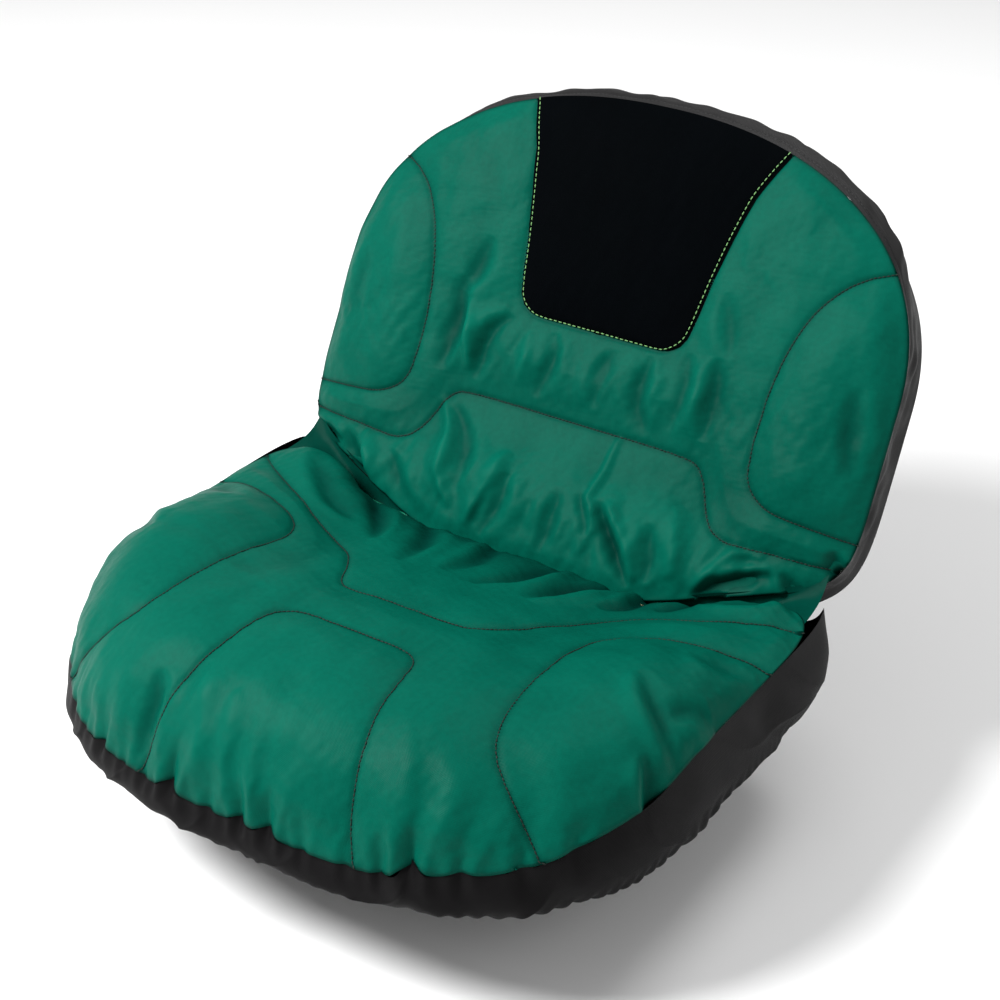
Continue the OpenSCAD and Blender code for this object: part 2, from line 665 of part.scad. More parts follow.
// The skirt's wall: down the outside and back up the inside
function skirt_wall(a) = let (
    top = skirt_top(seat_rim(a, 0, skirt_rear)[1]) - body_gap, t = cloth_t)
    skirt_loop(a, [[0, top], [-skirt_bulge, top * 0.55], [-skirt_bulge + 1, top * 0.3],
        skirt_low, skirt_low + [t, 0], [-skirt_bulge + 1 + t, top * 0.3 + 1],
        [-skirt_bulge + t, top * 0.55], [t, top]]);
module cover_skirt() color("#1f1f20") seat_frame()
    skin([for (a = turns(rim_steps)) skirt_wall(-a)], looped = true);

// The hem turns in under the pan's edge, from just below the wall
module cover_hem() color("#1f1f20") seat_frame() let (from = skirt_low - [0, fit_gap], t = cloth_t)
    skin([for (a = turns(rim_steps)) skirt_loop(-a, [from, [hem_bend, 0], [hem_turn, 0],
        [hem_turn, t], [hem_bend + 0.5, t], from + [t, 0]])], looped = true);

elastic_r = 2.5;
module hem_elastic() color("#2a2a2a") seat_frame() skin([for (a = turns(rim_steps))
    [for (b = turns(6)) let (e = seat_rim(-a, hem_turn + elastic_r + 0.6 + elastic_r * cos(b), skirt_rear))
        [e[0], e[1], elastic_r + 0.3 + elastic_r * sin(b)]]], looped = true);

module cover_back_panel() color("#05856a") seat_frame() skin(concat(
    [for (k = shares) back_ring(k, 0, 0)], [for (k = reversed(shares)) back_ring(k, pad_t, pad_t)]));

// Height of the padded front, with its roll at the edge, at a station
function panel_height(x, t) = let (high = t > back_mid, half = back_w / 2,
    n = high ? top_corner : foot_corner,
    share = min(1, pow(pow(abs(x) / half, n) + pow(abs(t - back_mid) / back_mid, n), 1 / n)))
    back_front(x, t) * (1 - pow(share, 6));

// A cloth patch between two heights over the back, as loops across its width
patch_steps = 10;
function patch_row(half, t, low, high) = let (xs = [for (i = [0:patch_steps])
        half * (2 * i / patch_steps - 1)])
    concat([for (x = xs) back_point(x, t, high(x, t))],
        [for (x = reversed(xs)) back_point(x, t, low(x, t))]);

patch_lift = 1;
module cover_head_panel() color("#070909") seat_frame() band([for (i = [0:patch_steps])
    let (k = i / patch_steps, t = head_low + (head_high - head_low) * k,
        half = head_bottom + (head_top - head_bottom) * k)
    patch_row(half, t, function(x, t) panel_height(x, t) + patch_lift,
        function(x, t) panel_height(x, t) + patch_lift + cloth_t)]);

gusset_from = -40;
gusset_top_puff = 10;
gusset_side_puff = -5;
gusset_shares = [0, 0.2, 0.5, 0.8, 1];
function gusset_puff(a) = gusset_side_puff + (gusset_top_puff - gusset_side_puff) * ease(sin(a) * 1.2);
function gusset_line(a, skin_t) = [for (k = gusset_shares)
    let (e = back_rim(a, skin_t + 5 * k * k - gusset_puff(a) * sin(180 * k)))
    back_point(e[0], e[1], -body_gap - (back_depth - 1) * k)];
module cover_gusset() color("#2e2e30") seat_frame() band([for (i = [0:rim_steps])
    let (a = 180 - gusset_from - (180 - 2 * gusset_from) * i / rim_steps)
    concat(gusset_line(a, 0), reversed(gusset_line(a, cloth_t)))]);

rear_panel_inset = 8.5;
module cover_rear_panel() color("#1f1f20") seat_frame() skin(concat(
    [for (k = shares) rear_ring(k, rear_panel_inset, back_depth - 1.5)],
    [for (k = reversed(shares)) rear_ring(k, rear_panel_inset, back_depth - 1.5 + cloth_t)]));

pocket_half = 118;
pocket_low = 70;
pocket_high = 205;
pocket_depth = back_depth - 1.5 + rear_bulge + cloth_t + patch_lift;
module rear_pocket() color("#1f1f20") seat_frame() band([for (i = [0:patch_steps])
    let (t = pocket_low + (pocket_high - pocket_low) * i / patch_steps)
    patch_row(pocket_half, t, function(x, t) -pocket_depth - cloth_t,
        function(x, t) -pocket_depth)]);

welt_r = 2.2;
welt_half = seat_w / 2 - 30;
welt_steps = 24;
module crease_welt() color("#0a5a48") seat_frame() tube([for (i = [0:welt_steps])
    let (x = welt_half * (2 * i / welt_steps - 1), y = crease_y + crease_sweep(x) + 0.5)
    [x, y, panel_seam(x, y) + welt_r + 4.5]], welt_r, 8);

base_plate();
hinge_bush_left();
hinge_bush_right();
bumper_left();
bumper_right();
tilt_frame();
hinge_pin();
pin_clip();
guide_bolts();
spring_front_left();
spring_front_right();
spring_rear_left();
spring_rear_right();
carrier_plate();
lower_rail_left();
lower_rail_right();
rail_rivets();
upper_rail_left();
upper_rail_right();
slide_shoes_left();
slide_shoes_right();
clamp_bracket();
seat_pan();
back_shell();
pan_bolts();
back_bolts();
switch_body();
switch_screws();
switch_plunger();
clamp_pad();
clamp_screw();
clamp_knob();
seat_foam();
back_foam();
cover_seat_panel();
cover_skirt();
cover_hem();
hem_elastic();
cover_back_panel();
cover_head_panel();
cover_gusset();
cover_rear_panel();
rear_pocket();
crease_welt();
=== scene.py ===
# %% [markdown]
# # A riding mower seat in its padded cover
#
# The object is a bucket seat on a steel bracket. A tailored cloth cover hides most of it: two padded
# green panels, a black head panel, a charcoal gusset round the back, and a black skirt gathered by
# elastic. Under the skirt are slide rails, four coil springs and a hinge.
#
# Three ways were open for the cloth: carve it, simulate it, or write its shape as formulas. This
# lesson uses the last two. A formula gives each panel its tailored shape, a short cloth simulation
# lets it pucker between its seams, and tables of folds add the deeper creases.

# %% Load the fixed frame
import json
import math

import bpy
import numpy as np
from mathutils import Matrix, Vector


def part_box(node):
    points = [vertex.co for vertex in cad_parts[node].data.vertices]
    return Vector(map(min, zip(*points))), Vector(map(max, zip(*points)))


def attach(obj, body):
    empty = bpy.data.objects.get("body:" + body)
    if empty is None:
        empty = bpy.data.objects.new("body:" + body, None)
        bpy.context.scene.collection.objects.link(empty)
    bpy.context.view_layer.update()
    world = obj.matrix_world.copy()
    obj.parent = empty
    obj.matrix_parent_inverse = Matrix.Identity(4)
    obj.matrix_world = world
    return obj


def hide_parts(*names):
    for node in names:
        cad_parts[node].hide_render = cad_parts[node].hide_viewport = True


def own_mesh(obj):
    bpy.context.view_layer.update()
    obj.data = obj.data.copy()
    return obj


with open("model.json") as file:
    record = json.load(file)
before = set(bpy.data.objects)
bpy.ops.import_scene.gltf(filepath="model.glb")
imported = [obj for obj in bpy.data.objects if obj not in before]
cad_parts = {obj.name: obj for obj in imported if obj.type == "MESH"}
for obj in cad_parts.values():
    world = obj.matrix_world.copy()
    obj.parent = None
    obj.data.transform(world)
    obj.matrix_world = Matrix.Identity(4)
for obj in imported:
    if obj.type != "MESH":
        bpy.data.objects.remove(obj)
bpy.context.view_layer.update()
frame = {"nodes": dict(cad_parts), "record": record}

# %% [markdown]
# ## Where things are
#
# The cover was drawn in a seat frame of its own: millimetres, with the hem at height 0. Everything
# below is worked out in that frame and moved into place once. Its origin and half width are found
# from the boxes of two CAD nodes. The other lengths repeat the design's own values.

# %% The seat frame
MM = 0.001
panel_low, panel_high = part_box("cover_seat_panel")
hem_low, hem_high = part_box("cover_hem")
SEAT_FRONT = 200
SEAT_REAR = 152
SWEEP = 20
MIDDLE_Y = -90
HALF_W = panel_high.x / MM
LIP_Y = MIDDLE_Y - SEAT_FRONT
CREASE_Y = MIDDLE_Y + SEAT_REAR
ORIGIN = np.array([0, panel_low.y / MM - LIP_Y, hem_low.z / MM])


def placed(points):
    """Points of the seat frame, in millimetres, as points of the shared frame, in metres."""
    return (np.asarray(points, float) + ORIGIN) * MM


print("seat frame at", placed([0, 0, 0]), "half width", round(HALF_W, 1))

# %% [markdown]
# ## Camera, floor and light
#
# A product shot: the camera looks down at 30 degrees from the front right with a short telephoto
# lens, over a pale floor. The light is one broad soft source in front on the left, a weaker one on
# the right, one high behind, and a plain sky. Hard light would show every facet of the folds.

# %% Camera
CAMERA_AZIMUTH = math.radians(33.5)
CAMERA_HEIGHT = math.radians(30)
CAMERA_DISTANCE = 1.570
LENS, SENSOR = 76.86, 36
aim = Vector(placed([0, 20, 125]))
scene = bpy.context.scene
camera = bpy.data.objects.new("camera", bpy.data.cameras.new("camera"))
scene.collection.objects.link(camera)
away = Vector((math.sin(CAMERA_AZIMUTH) * math.cos(CAMERA_HEIGHT),
               -math.cos(CAMERA_AZIMUTH) * math.cos(CAMERA_HEIGHT), math.sin(CAMERA_HEIGHT)))
camera.location = aim + away * CAMERA_DISTANCE
camera.rotation_euler = away.to_track_quat("Z", "Y").to_euler()
camera.data.lens = LENS
camera.data.sensor_width = SENSOR
scene.camera = camera
print("camera at", [round(v, 3) for v in camera.location])

# %% [markdown]
# ## Node trees in short
#
# Each finish is a tree of nodes. Written out, every node takes a line to make, one for each input and
# one for each link. One helper does all three, and five more make the steps that the finishes share.


# %% Node helpers
def add(tree, kind, inputs=None, **settings):
    """Adds a node. An input given as a socket is linked, and any other value is set."""
    made = tree.nodes.new(kind)
    for key, value in settings.items():
        setattr(made, key, value)
    for key, value in (inputs or {}).items():
        socket = made.inputs[key]
        if isinstance(value, bpy.types.NodeSocket):
            tree.links.new(value, socket)
        else:
            socket.default_value = value
    return made


def noise(tree, place, scale, detail):
    """Soft random patches between 0 and 1. scale is patches to the metre."""
    return add(tree, "ShaderNodeTexNoise", {"Vector": place, "Scale": scale, "Detail": detail}).outputs["Fac"]


def ranged(tree, value, low, high, to_low=0.0, to_high=1.0):
    """Carries a value from one range to another, and no further."""
    return add(tree, "ShaderNodeMapRange", {"Value": value, "From Min": low, "From Max": high,
               "To Min": to_low, "To Max": to_high}).outputs[0]


def blended(tree, factor, first, second):
    """A colour between two others."""
    return add(tree, "ShaderNodeMix", {"Factor": factor, "A": first, "B": second},
               data_type="RGBA").outputs["Result"]


def brightened(tree, colour, value):
    """A colour made brighter or darker by a factor."""
    return add(tree, "ShaderNodeHueSaturation", {"Color": colour, "Value": value}).outputs[0]


def bumped(tree, shader, height, strength, depth):
    """Gives a shader a bump. depth is in metres."""
    bump = add(tree, "ShaderNodeBump", {"Height": height, "Strength": strength, "Distance": depth})
    tree.links.new(bump.outputs["Normal"], shader.inputs["Normal"])


def new_material(name):
    """A node material with only a Principled shader, as (material, tree, shader)."""
    material = bpy.data.materials.new(name)
    material.use_nodes = True
    tree = material.node_tree
    return material, tree, tree.nodes["Principled BSDF"]


# %% [markdown]
# ## Floor and lamps
#
# A wide pale plane catches the shadow. Disc lamps are placed by azimuth and height round the seat, so
# that each can be walked round it by changing one number.

# %% Floor, lamps and sky
floor_mesh = bpy.data.meshes.new("studio_floor")
REACH = 12.0
floor_mesh.from_pydata([(-REACH, -REACH, 0), (REACH, -REACH, 0), (REACH, REACH, 0), (-REACH, REACH, 0)],
                       [], [(0, 1, 2, 3)])
floor = bpy.data.objects.new("studio_floor", floor_mesh)
scene.collection.objects.link(floor)
floor_material, tree, shader = new_material("pale_floor")
place = add(tree, "ShaderNodeTexCoord").outputs["Object"]
tint = blended(tree, noise(tree, place, 3.0, 2.0), (0.89, 0.89, 0.89, 1), (0.91, 0.91, 0.91, 1))
tree.links.new(tint, shader.inputs["Base Color"])
shader.inputs["Roughness"].default_value = 0.9
shader.inputs["Specular IOR Level"].default_value = 0.1
floor_mesh.materials.append(floor_material)


def lamp(name, azimuth, height, distance, size, power):
    """An area lamp that looks at the seat. Azimuth 0 is in front, and positive is to the right."""
    light = bpy.data.lights.new(name, "AREA")
    light.shape, light.size, light.energy = "DISK", size, power
    thing = bpy.data.objects.new(name, light)
    a, e = math.radians(azimuth), math.radians(height)
    out = Vector((math.sin(a) * math.cos(e), -math.cos(a) * math.cos(e), math.sin(e)))
    thing.location = aim + out * distance
    thing.rotation_euler = out.to_track_quat("Z", "Y").to_euler()
    scene.collection.objects.link(thing)


lamp("key_lamp", -42, 46, 2.4, 0.9, 100)
lamp("fill_lamp", 75, 35, 2.8, 1.6, 10)
lamp("back_lamp", 165, 60, 2.6, 1.2, 26)
world = bpy.data.worlds.new("studio_sky")
world.use_nodes = True
world.node_tree.nodes["Background"].inputs["Color"].default_value = (1, 1, 1, 1)
world.node_tree.nodes["Background"].inputs["Strength"].default_value = 0.40
scene.world = world
scene.view_settings.view_transform = "Standard"

# %% [markdown]
# ## The tailored shape
#
# A cover is cut to a pattern, so its shape follows rules: an outline that is a squared ellipse, a
# cushion crowned in front and falling to the crease, bolsters at the sides, and a back that leans on
# a bent line. They follow the rules that the frame was built with, written for whole arrays of
# points, so the fine cloth lies in or close to the space that its coarse solid holds.


# %% Rules of the cushion
def ease(t):
    """Smooth step from 0 to 1."""
    u = np.clip(t, 0, 1)
    return u * u * (3 - 2 * u)


def sweep(x):
    """How far the crease runs back at the sides."""
    return SWEEP * ease((np.abs(x) - HALF_W / 2) / (HALF_W / 2.2))


def seat_top(x, y):
    """Height of the cushion before it rolls over at the edge."""
    crown = 112 - 55 * ease((y + 190) / 300) - 6 * ease((-190 - y) / 120)
    bolster = (16 + 10 * ease(y / 60)) * ease((np.abs(x) - 90) / 120) * ease((y + 230) / 150)
    return crown + bolster


def side_seam(y):
    """Height of the seam between panel and skirt."""
    return 80 - 50 * ease((MIDDLE_Y - 5 - y) / 195)


def panel_seam(x, y):
    """Height of the panel's edge, which dips along the crease."""
    return side_seam(y) - 33 * ease((225 - np.abs(x)) / 60) * ease((y - 30) / 30)


def squared_reach(angle, half_w, half_l, power):
    """How far a squared ellipse reaches at each angle."""
    across = np.abs(np.cos(angle) / half_w) ** power
    along = np.abs(np.sin(angle) / half_l) ** power
    return (across + along) ** (-1 / power)


def seat_rim(angle, inset=0.0, rear=SEAT_REAR, swept=1):
    """Outline of the seat at each angle, as x and y."""
    front = np.sin(angle) < 0
    reach = np.where(front, squared_reach(angle, HALF_W - inset, SEAT_FRONT - inset, 2.7),
                     squared_reach(angle, HALF_W - inset, rear - inset, 8))
    x = reach * np.cos(angle)
    stretch = 1 + np.where(front, 0, swept * sweep(x) / rear)
    return x, MIDDLE_Y + reach * np.sin(angle) * stretch


# %% [markdown]
# ## The leaning back
#
# The board of the back is bent once, near its foot. So a place on it is given as across, up along the
# board, and out from it, and one function turns these three into a point of the seat frame.

# %% Rules of the back
back_low, back_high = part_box("cover_back_panel")
BACK_HALF = back_high.x / MM
BACK_LEN = 350
BACK_MID = BACK_LEN / 2
FOOT_Y, FOOT_Z = CREASE_Y + 4.3, 63.6
FOOT_SLOPE, TOP_SLOPE = math.radians(38), math.radians(62)
BEND_FROM, BEND_LEN = 25, 60
BEND_R = BEND_LEN / (TOP_SLOPE - FOOT_SLOPE)


def back_point(x, t, h):
    """A point of the back: across, up from the foot, and out from the reference line."""
    a = FOOT_SLOPE + (TOP_SLOPE - FOOT_SLOPE) * np.clip((t - BEND_FROM) / BEND_LEN, 0, 1)
    first, over = np.minimum(t, BEND_FROM), np.maximum(0, t - BEND_FROM - BEND_LEN)
    y = FOOT_Y + first * math.cos(FOOT_SLOPE) + BEND_R * (np.sin(a) - math.sin(FOOT_SLOPE)) \
        + over * math.cos(TOP_SLOPE) - np.sin(a) * h
    z = FOOT_Z + first * math.sin(FOOT_SLOPE) + BEND_R * (math.cos(FOOT_SLOPE) - np.cos(a)) \
        + over * math.sin(TOP_SLOPE) + np.cos(a) * h
    return np.stack([x + 0 * y, y, z], -1)


def back_rim(angle, inset=0.0, foot_cut=0.0):
    """Outline of the back at each angle, as x and distance from the foot."""
    low = np.sin(angle) < 0
    reach = np.where(low, squared_reach(angle, BACK_HALF - inset, BACK_MID - inset - foot_cut, 8),
                     squared_reach(angle, BACK_HALF - inset, BACK_MID - inset, 2.25))
    x = reach * np.cos(angle)
    rise = np.where(low, sweep(x) / math.cos(FOOT_SLOPE) / BACK_MID, 0)
    return x, BACK_MID + reach * np.sin(angle) * (1 - rise)


def back_front(x, t):
    """Height of the padded front before it rolls over at the edge."""
    return 12 + 12 * ease((np.abs(x) - 110) / 80) * ease((BACK_LEN - 65 - t) / 100)


print("back reaches", placed(back_point(0.0, float(BACK_LEN), 0.0)), "and the CAD panel", back_high)

# %% [markdown]
# ## A grid that fits a rounded outline
#
# Cloth wants square cells. Rings round a middle point would crowd there, and a plain grid cut by the
# outline would have a ragged edge. So a square grid is bent instead: its rings are squares that
# become the outline, and its four corners land on the outline's corners. The rings are spaced by
# arc length over the rolled edge, where the surface turns down.


# %% The bent grid
def corner_spaced(rim, half_w, half_l, steps):
    """Angles all round the outline, evenly spaced along each of its four sides."""
    fine = np.linspace(0, 2 * np.pi, 2881)
    xy = np.stack(rim(fine), -1)
    along = np.concatenate([[0], np.cumsum(np.linalg.norm(np.diff(xy, axis=0), axis=1))])
    corner = math.atan2(half_l[0], half_w), math.pi - math.atan2(half_l[0], half_w), \
        math.pi + math.atan2(half_l[1], half_w), 2 * math.pi - math.atan2(half_l[1], half_w)
    marks = np.interp([0, corner[0], math.pi / 2, corner[1], math.pi, corner[2], 1.5 * math.pi,
                       corner[3], 2 * math.pi], fine, along)
    share = np.linspace(0, 8, steps + 1)
    return np.interp(np.interp(share, np.arange(9), marks), along, fine)


def even_shares(section, rings):
    """Shares from 0 to 1 whose points are evenly spaced along a section curve."""
    fine = np.linspace(0, 1, 801)
    curve = np.stack(section(fine), -1)
    along = np.concatenate([[0], np.cumsum(np.linalg.norm(np.diff(curve, axis=0), axis=1))])
    return np.interp(np.linspace(0, along[-1], rings + 1), along, fine), along[-1]


class Grid:
    """A bent square grid with an even number of cells each way: share, angle, faces and rim."""

    def __init__(self, cells, rim, half_w, half_l, section):
        self.cells = cells
        line = np.linspace(-1, 1, cells + 1)
        self.u, self.v = np.meshgrid(line, line, indexing="ij")
        ring = np.maximum(np.abs(self.u), np.abs(self.v))
        safe = np.where(ring > 0, ring, 1)
        a, b = self.u / safe, self.v / safe
        eighth = np.where(np.abs(a) >= np.abs(b), np.where(a > 0, b, 4 - b),
                          np.where(b > 0, 2 - a, 6 + a))
        shares, self.length = even_shares(section, cells // 2)
        self.level = ring
        self.share = np.interp(ring, np.linspace(0, 1, cells // 2 + 1), shares)
        angles = corner_spaced(rim, half_w, half_l, 4 * cells)
        self.angle = np.interp(eighth % 8, np.linspace(0, 8, 4 * cells + 1), angles)
        k = np.arange(cells + 1)
        n = cells + 1
        self.rim = np.concatenate([k[:-1] * n, cells * n + k[:-1], k[:0:-1] * n + cells, k[:0:-1]])
        i, j = np.meshgrid(np.arange(cells), np.arange(cells), indexing="ij")
        first = (i * n + j).ravel()
        self.faces = np.stack([first, first + n, first + n + 1, first + 1], -1)


def between(rows, at):
    """Rows at fractional places along the first axis, by cubic interpolation."""
    i = np.clip(at.astype(int), 0, len(rows) - 2)
    f = (at - i).reshape((-1,) + (1,) * (rows.ndim - 1))
    p0, p1 = rows[np.maximum(i - 1, 0)], rows[i]
    p2, p3 = rows[i + 1], rows[np.minimum(i + 2, len(rows) - 1)]
    return 0.5 * (2 * p1 + (p2 - p0) * f + (2 * p0 - 5 * p1 + 4 * p2 - p3) * f ** 2
                  + (3 * p1 - 3 * p2 + p3 - p0) * f ** 3)


def finer(values, cells):
    """Values on a coarse grid, carried to a grid of more cells."""
    for axis in (0, 1):
        rows = np.moveaxis(values, axis, 0)
        rows = between(rows, np.linspace(0, len(rows) - 1, cells + 1))
        values = np.moveaxis(rows, 0, axis)
    return values


def grid_normals(points):
    """Unit normals of a grid of points."""
    normal = np.cross(np.gradient(points, axis=0), np.gradient(points, axis=1))
    return normal / np.maximum(np.linalg.norm(normal, axis=-1, keepdims=True), 1e-9)


# %% [markdown]
# ## Seams
#
# The panels are divided by sewn lines: a bolster at each side, a bell-shaped piece at the front of
# the cushion, a band behind it, and a lumbar piece on the back. Each is given by a few design points
# on the panel, in millimetres, and a smooth curve through them. Both halves of the back and most of
# the cushion mirror each other.


# %% Seam lines
def smooth_line(points, step=5.0):
    """A smooth curve through the points, resampled to even steps."""
    p = np.asarray(points, float)
    p = np.concatenate([[2 * p[0] - p[1]], p, [2 * p[-1] - p[-2]]])
    f = np.linspace(0, 1, 16, endpoint=False)[:, None]
    parts = [0.5 * (2 * p[i] + (p[i + 1] - p[i - 1]) * f
                    + (2 * p[i - 1] - 5 * p[i] + 4 * p[i + 1] - p[i + 2]) * f ** 2
                    + (3 * p[i] - 3 * p[i + 1] + p[i + 2] - p[i - 1]) * f ** 3)
             for i in range(1, len(p) - 2)]
    curve = np.concatenate(parts + [p[-2:-1]])
    along = np.concatenate([[0], np.cumsum(np.linalg.norm(np.diff(curve, axis=0), axis=1))])
    at = np.linspace(0, along[-1], max(2, int(along[-1] / step) + 1))
    return np.stack([np.interp(at, along, curve[:, k]) for k in range(curve.shape[1])], -1)


def mirrored(points):
    """The same points on the other side of the middle."""
    return [(-x, y) for x, y in points]


seat_bolster = [(203, -236), (170, -226), (150, -211), (140, -184), (133, -130), (130, -78),
                (136, -54), (150, -39), (172, -29), (197, -22), (222, -15), (243, -12)]
bell_side = [(91, -286), (83, -278), (77, -262), (72, -243), (66, -218), (62, -190), (58, -172),
             (50, -163), (34, -160), (0, -160)]
rear_band = [(239, 46), (222, 40), (200, 29), (171, 18), (133, 6), (114, -11), (94, -45), (76, -80),
             (62, -97), (45, -105), (0, -104), (-42, -108), (-55, -101), (-70, -75), (-91, -49),
             (-130, -27), (-165, -8), (-200, 12), (-222, 26), (-239, 40)]
back_bolster = [(214, 269), (196, 260), (180, 246), (167, 226), (157, 199), (151, 168), (149, 140),
                (150, 112), (153, 98), (161, 88), (177, 80), (200, 77), (243, 75)]
lumbar = [(243, 54), (215, 50), (190, 48), (165, 46), (149, 46), (137, 51), (128, 62), (122, 75),
          (116, 88), (108, 97), (95, 100), (60, 101), (0, 101)]
head_edge = [(110, 334), (95, 298), (87, 263), (81, 233), (76, 200), (73, 186), (68, 178), (60, 173),
             (50, 171), (0, 171)]

seat_seams = [smooth_line(p) for p in (seat_bolster, mirrored(seat_bolster),
                                       bell_side + mirrored(bell_side)[::-1][1:], rear_band)]
back_seams = [smooth_line(p) for p in (back_bolster, mirrored(back_bolster),
                                       lumbar + mirrored(lumbar)[::-1][1:])]
head_line = smooth_line(head_edge + mirrored(head_edge)[::-1][1:])
print("seams", [len(s) for s in seat_seams + back_seams + [head_line]])


# %% [markdown]
# ## How far away a seam is
#
# Wadding is flat at a seam and full away from it, and a groove follows the seam closely. So each point
# of a panel needs its distance from the nearest seam, and a fold needs its side and its place too.


# %% Distance to a line
def nearest(points, line):
    """Distance, signed side and share along a polyline, for each point on the panel."""
    p = points.reshape(-1, 2)
    best = np.full(len(p), 1e9)
    side, share = np.zeros(len(p)), np.zeros(len(p))
    for k in range(len(line) - 1):
        a, d = line[k], line[k + 1] - line[k]
        w = p - a
        f = np.clip((w @ d) / (d @ d), 0, 1)
        off = w - f[:, None] * d
        distance = np.hypot(off[:, 0], off[:, 1])
        closer = distance < best
        best = np.where(closer, distance, best)
        side = np.where(closer, np.sign(d[0] * w[:, 1] - d[1] * w[:, 0]), side)
        share = np.where(closer, (k + f) / (len(line) - 1), share)
    shape = points.shape[:-1]
    return best.reshape(shape), side.reshape(shape), share.reshape(shape)


def to_seams(points, seams):
    """Distance from each point to the nearest of the seams."""
    return np.min([nearest(points, s)[0] for s in seams], axis=0)


# %% [markdown]
# ## Folds
#
# A fold is a valley with a softer ridge beside it, and it fades out at both ends. Each row of a fold
# table gives its path over the panel, half width, depth, and the ridge's share of the depth: positive
# puts the ridge on the left of the path and negative on its right. A negative depth is a ridge alone.


# %% Folds from a table
FOLD_STRENGTH = 1.5
RIDGE_AWAY, RIDGE_WIDTH = 1.7, 1.1


def folded(points, folds):
    """Height that the folds add at each point, in millimetres."""
    height = np.zeros(points.shape[:-1])
    for path, width, depth, ridge in folds:
        depth = depth * FOLD_STRENGTH
        line = smooth_line(path, 4.0)
        d, side, share = nearest(points, line)
        fade = np.clip(np.sin(np.pi * np.clip(share, 0, 1)), 0, 1) ** 0.7
        w = width * (0.45 + 0.55 * fade)
        signed = d * np.where(side == 0, 1, side)
        beyond = np.exp(-(np.maximum(d - w, 0) / (2.5 * w)) ** 2)
        height -= depth * fade * np.exp(-(d / w) ** 2)
        height += abs(ridge) * abs(depth) * fade * beyond \
            * np.exp(-((signed - math.copysign(RIDGE_AWAY, ridge) * w) / (RIDGE_WIDTH * w)) ** 2) * (ridge != 0)
    return height


def wavy(x, y, size, seed, detail=3):
    """Smooth random waves between -1 and 1, from summed sines with a fixed seed."""
    draw = np.random.default_rng(seed)
    total, weight = np.zeros(np.broadcast(x, y).shape), 0
    for octave in range(detail):
        for _ in range(4):
            turn, phase = draw.uniform(0, np.pi), draw.uniform(0, 2 * np.pi)
            k = 2 * np.pi / (size / 1.9 ** octave) * draw.uniform(0.7, 1.3)
            total += np.sin(k * (x * np.cos(turn) + y * np.sin(turn)) + phase) / 1.7 ** octave
        weight += 2.2 / 1.7 ** octave
    return np.clip(total / weight, -1.3, 1.3)


# %% [markdown]
# ## Cloth finishes
#
# The green cloth is a tightly woven synthetic with a soft satin gloss. Its threads are finer than a
# millimetre, so the weave is a pattern of crossed sine waves in the bump. It runs along the panel's
# own map, as cloth is cut, and not along the world's axes. Colour and roughness drift a little over
# the hand's width, wear lightens the ridges, and the valleys and seams are darkened, partly as dirt
# and partly as painted shade.


# %% Woven cloth material
CHART_SCALE = 0.01


def woven(name, deep, plain, worn, rough, gloss, thread=1.1, weave=0.25):
    """Cloth with colours for its valleys, its face and its worn ridges. The valley colour is partly dirt and partly
    painted shade. thread is in millimetres.
    """
    material, tree, shader = new_material(name)
    chart = add(tree, "ShaderNodeUVMap", uv_map="cloth")
    split = add(tree, "ShaderNodeSeparateXYZ", {"Vector": chart.outputs["UV"]})
    place = add(tree, "ShaderNodeTexCoord").outputs["Object"]
    turns = 2 * math.pi / CHART_SCALE / thread
    waves = []
    for axis in ("X", "Y"):
        phase = add(tree, "ShaderNodeMath", {0: split.outputs[axis], 1: turns}, operation="MULTIPLY")
        waves.append(add(tree, "ShaderNodeMath", {0: phase.outputs[0]}, operation="SINE").outputs[0])
    cross = add(tree, "ShaderNodeMath", {0: waves[0], 1: waves[1]}, operation="MULTIPLY").outputs[0]
    drift = noise(tree, place, 9.0, 3.0)
    fleck = noise(tree, place, 260.0, 2.0)
    relief = add(tree, "ShaderNodeAttribute", attribute_name="relief").outputs["Fac"]
    face = brightened(tree, (*plain, 1), ranged(tree, drift, 0.3, 0.7, 0.9, 1.1))
    flecked = brightened(tree, face, ranged(tree, fleck, 0.3, 0.7, 0.94, 1.06))
    # Low relief blends towards the deep colour, partly dirt and partly painted shade in valleys, seams and creases.
    dark = blended(tree, ranged(tree, relief, 0.5, 0.0), flecked, (*deep, 1))
    light = blended(tree, ranged(tree, relief, 0.5, 1.0), dark, (*worn, 1))
    tree.links.new(light, shader.inputs["Base Color"])
    rougher = ranged(tree, drift, 0.3, 0.7, rough - 0.05, rough + 0.06)
    tree.links.new(rougher, shader.inputs["Roughness"])
    fuzz = add(tree, "ShaderNodeMath", {0: fleck, 1: 1.5}, operation="MULTIPLY").outputs[0]
    soft = add(tree, "ShaderNodeMath", {0: cross, 1: fuzz}, operation="ADD").outputs[0]
    bumped(tree, shader, soft, weave, 0.0002)
    shader.inputs["IOR"].default_value = 1 + gloss
    return material


# The deep colours stand partly for dirt and partly for painted shade in valleys, seams and creases.
green_cloth = woven("green_satin_cloth", (0.0001, 0.014, 0.011), (0.0003, 0.076, 0.050),
                    (0.0007, 0.102, 0.067), rough=0.40, gloss=0.10)
black_cloth = woven("black_oxford_cloth", (0.001, 0.001, 0.001), (0.0045, 0.0042, 0.0045),
                    (0.008, 0.0077, 0.008), rough=0.5, gloss=0.13, thread=1.3, weave=0.4)
charcoal_cloth = woven("charcoal_gusset_cloth", (0.002, 0.002, 0.002), (0.0090, 0.0087, 0.0090),
                       (0.015, 0.0145, 0.015), rough=0.48, gloss=0.3, thread=1.3, weave=0.4)
head_cloth = woven("head_panel_cloth", (0.0004, 0.0005, 0.0006), (0.0006, 0.0010, 0.0014),
                   (0.0014, 0.002, 0.0025), rough=0.8, gloss=0.06, thread=1.6, weave=0.35)


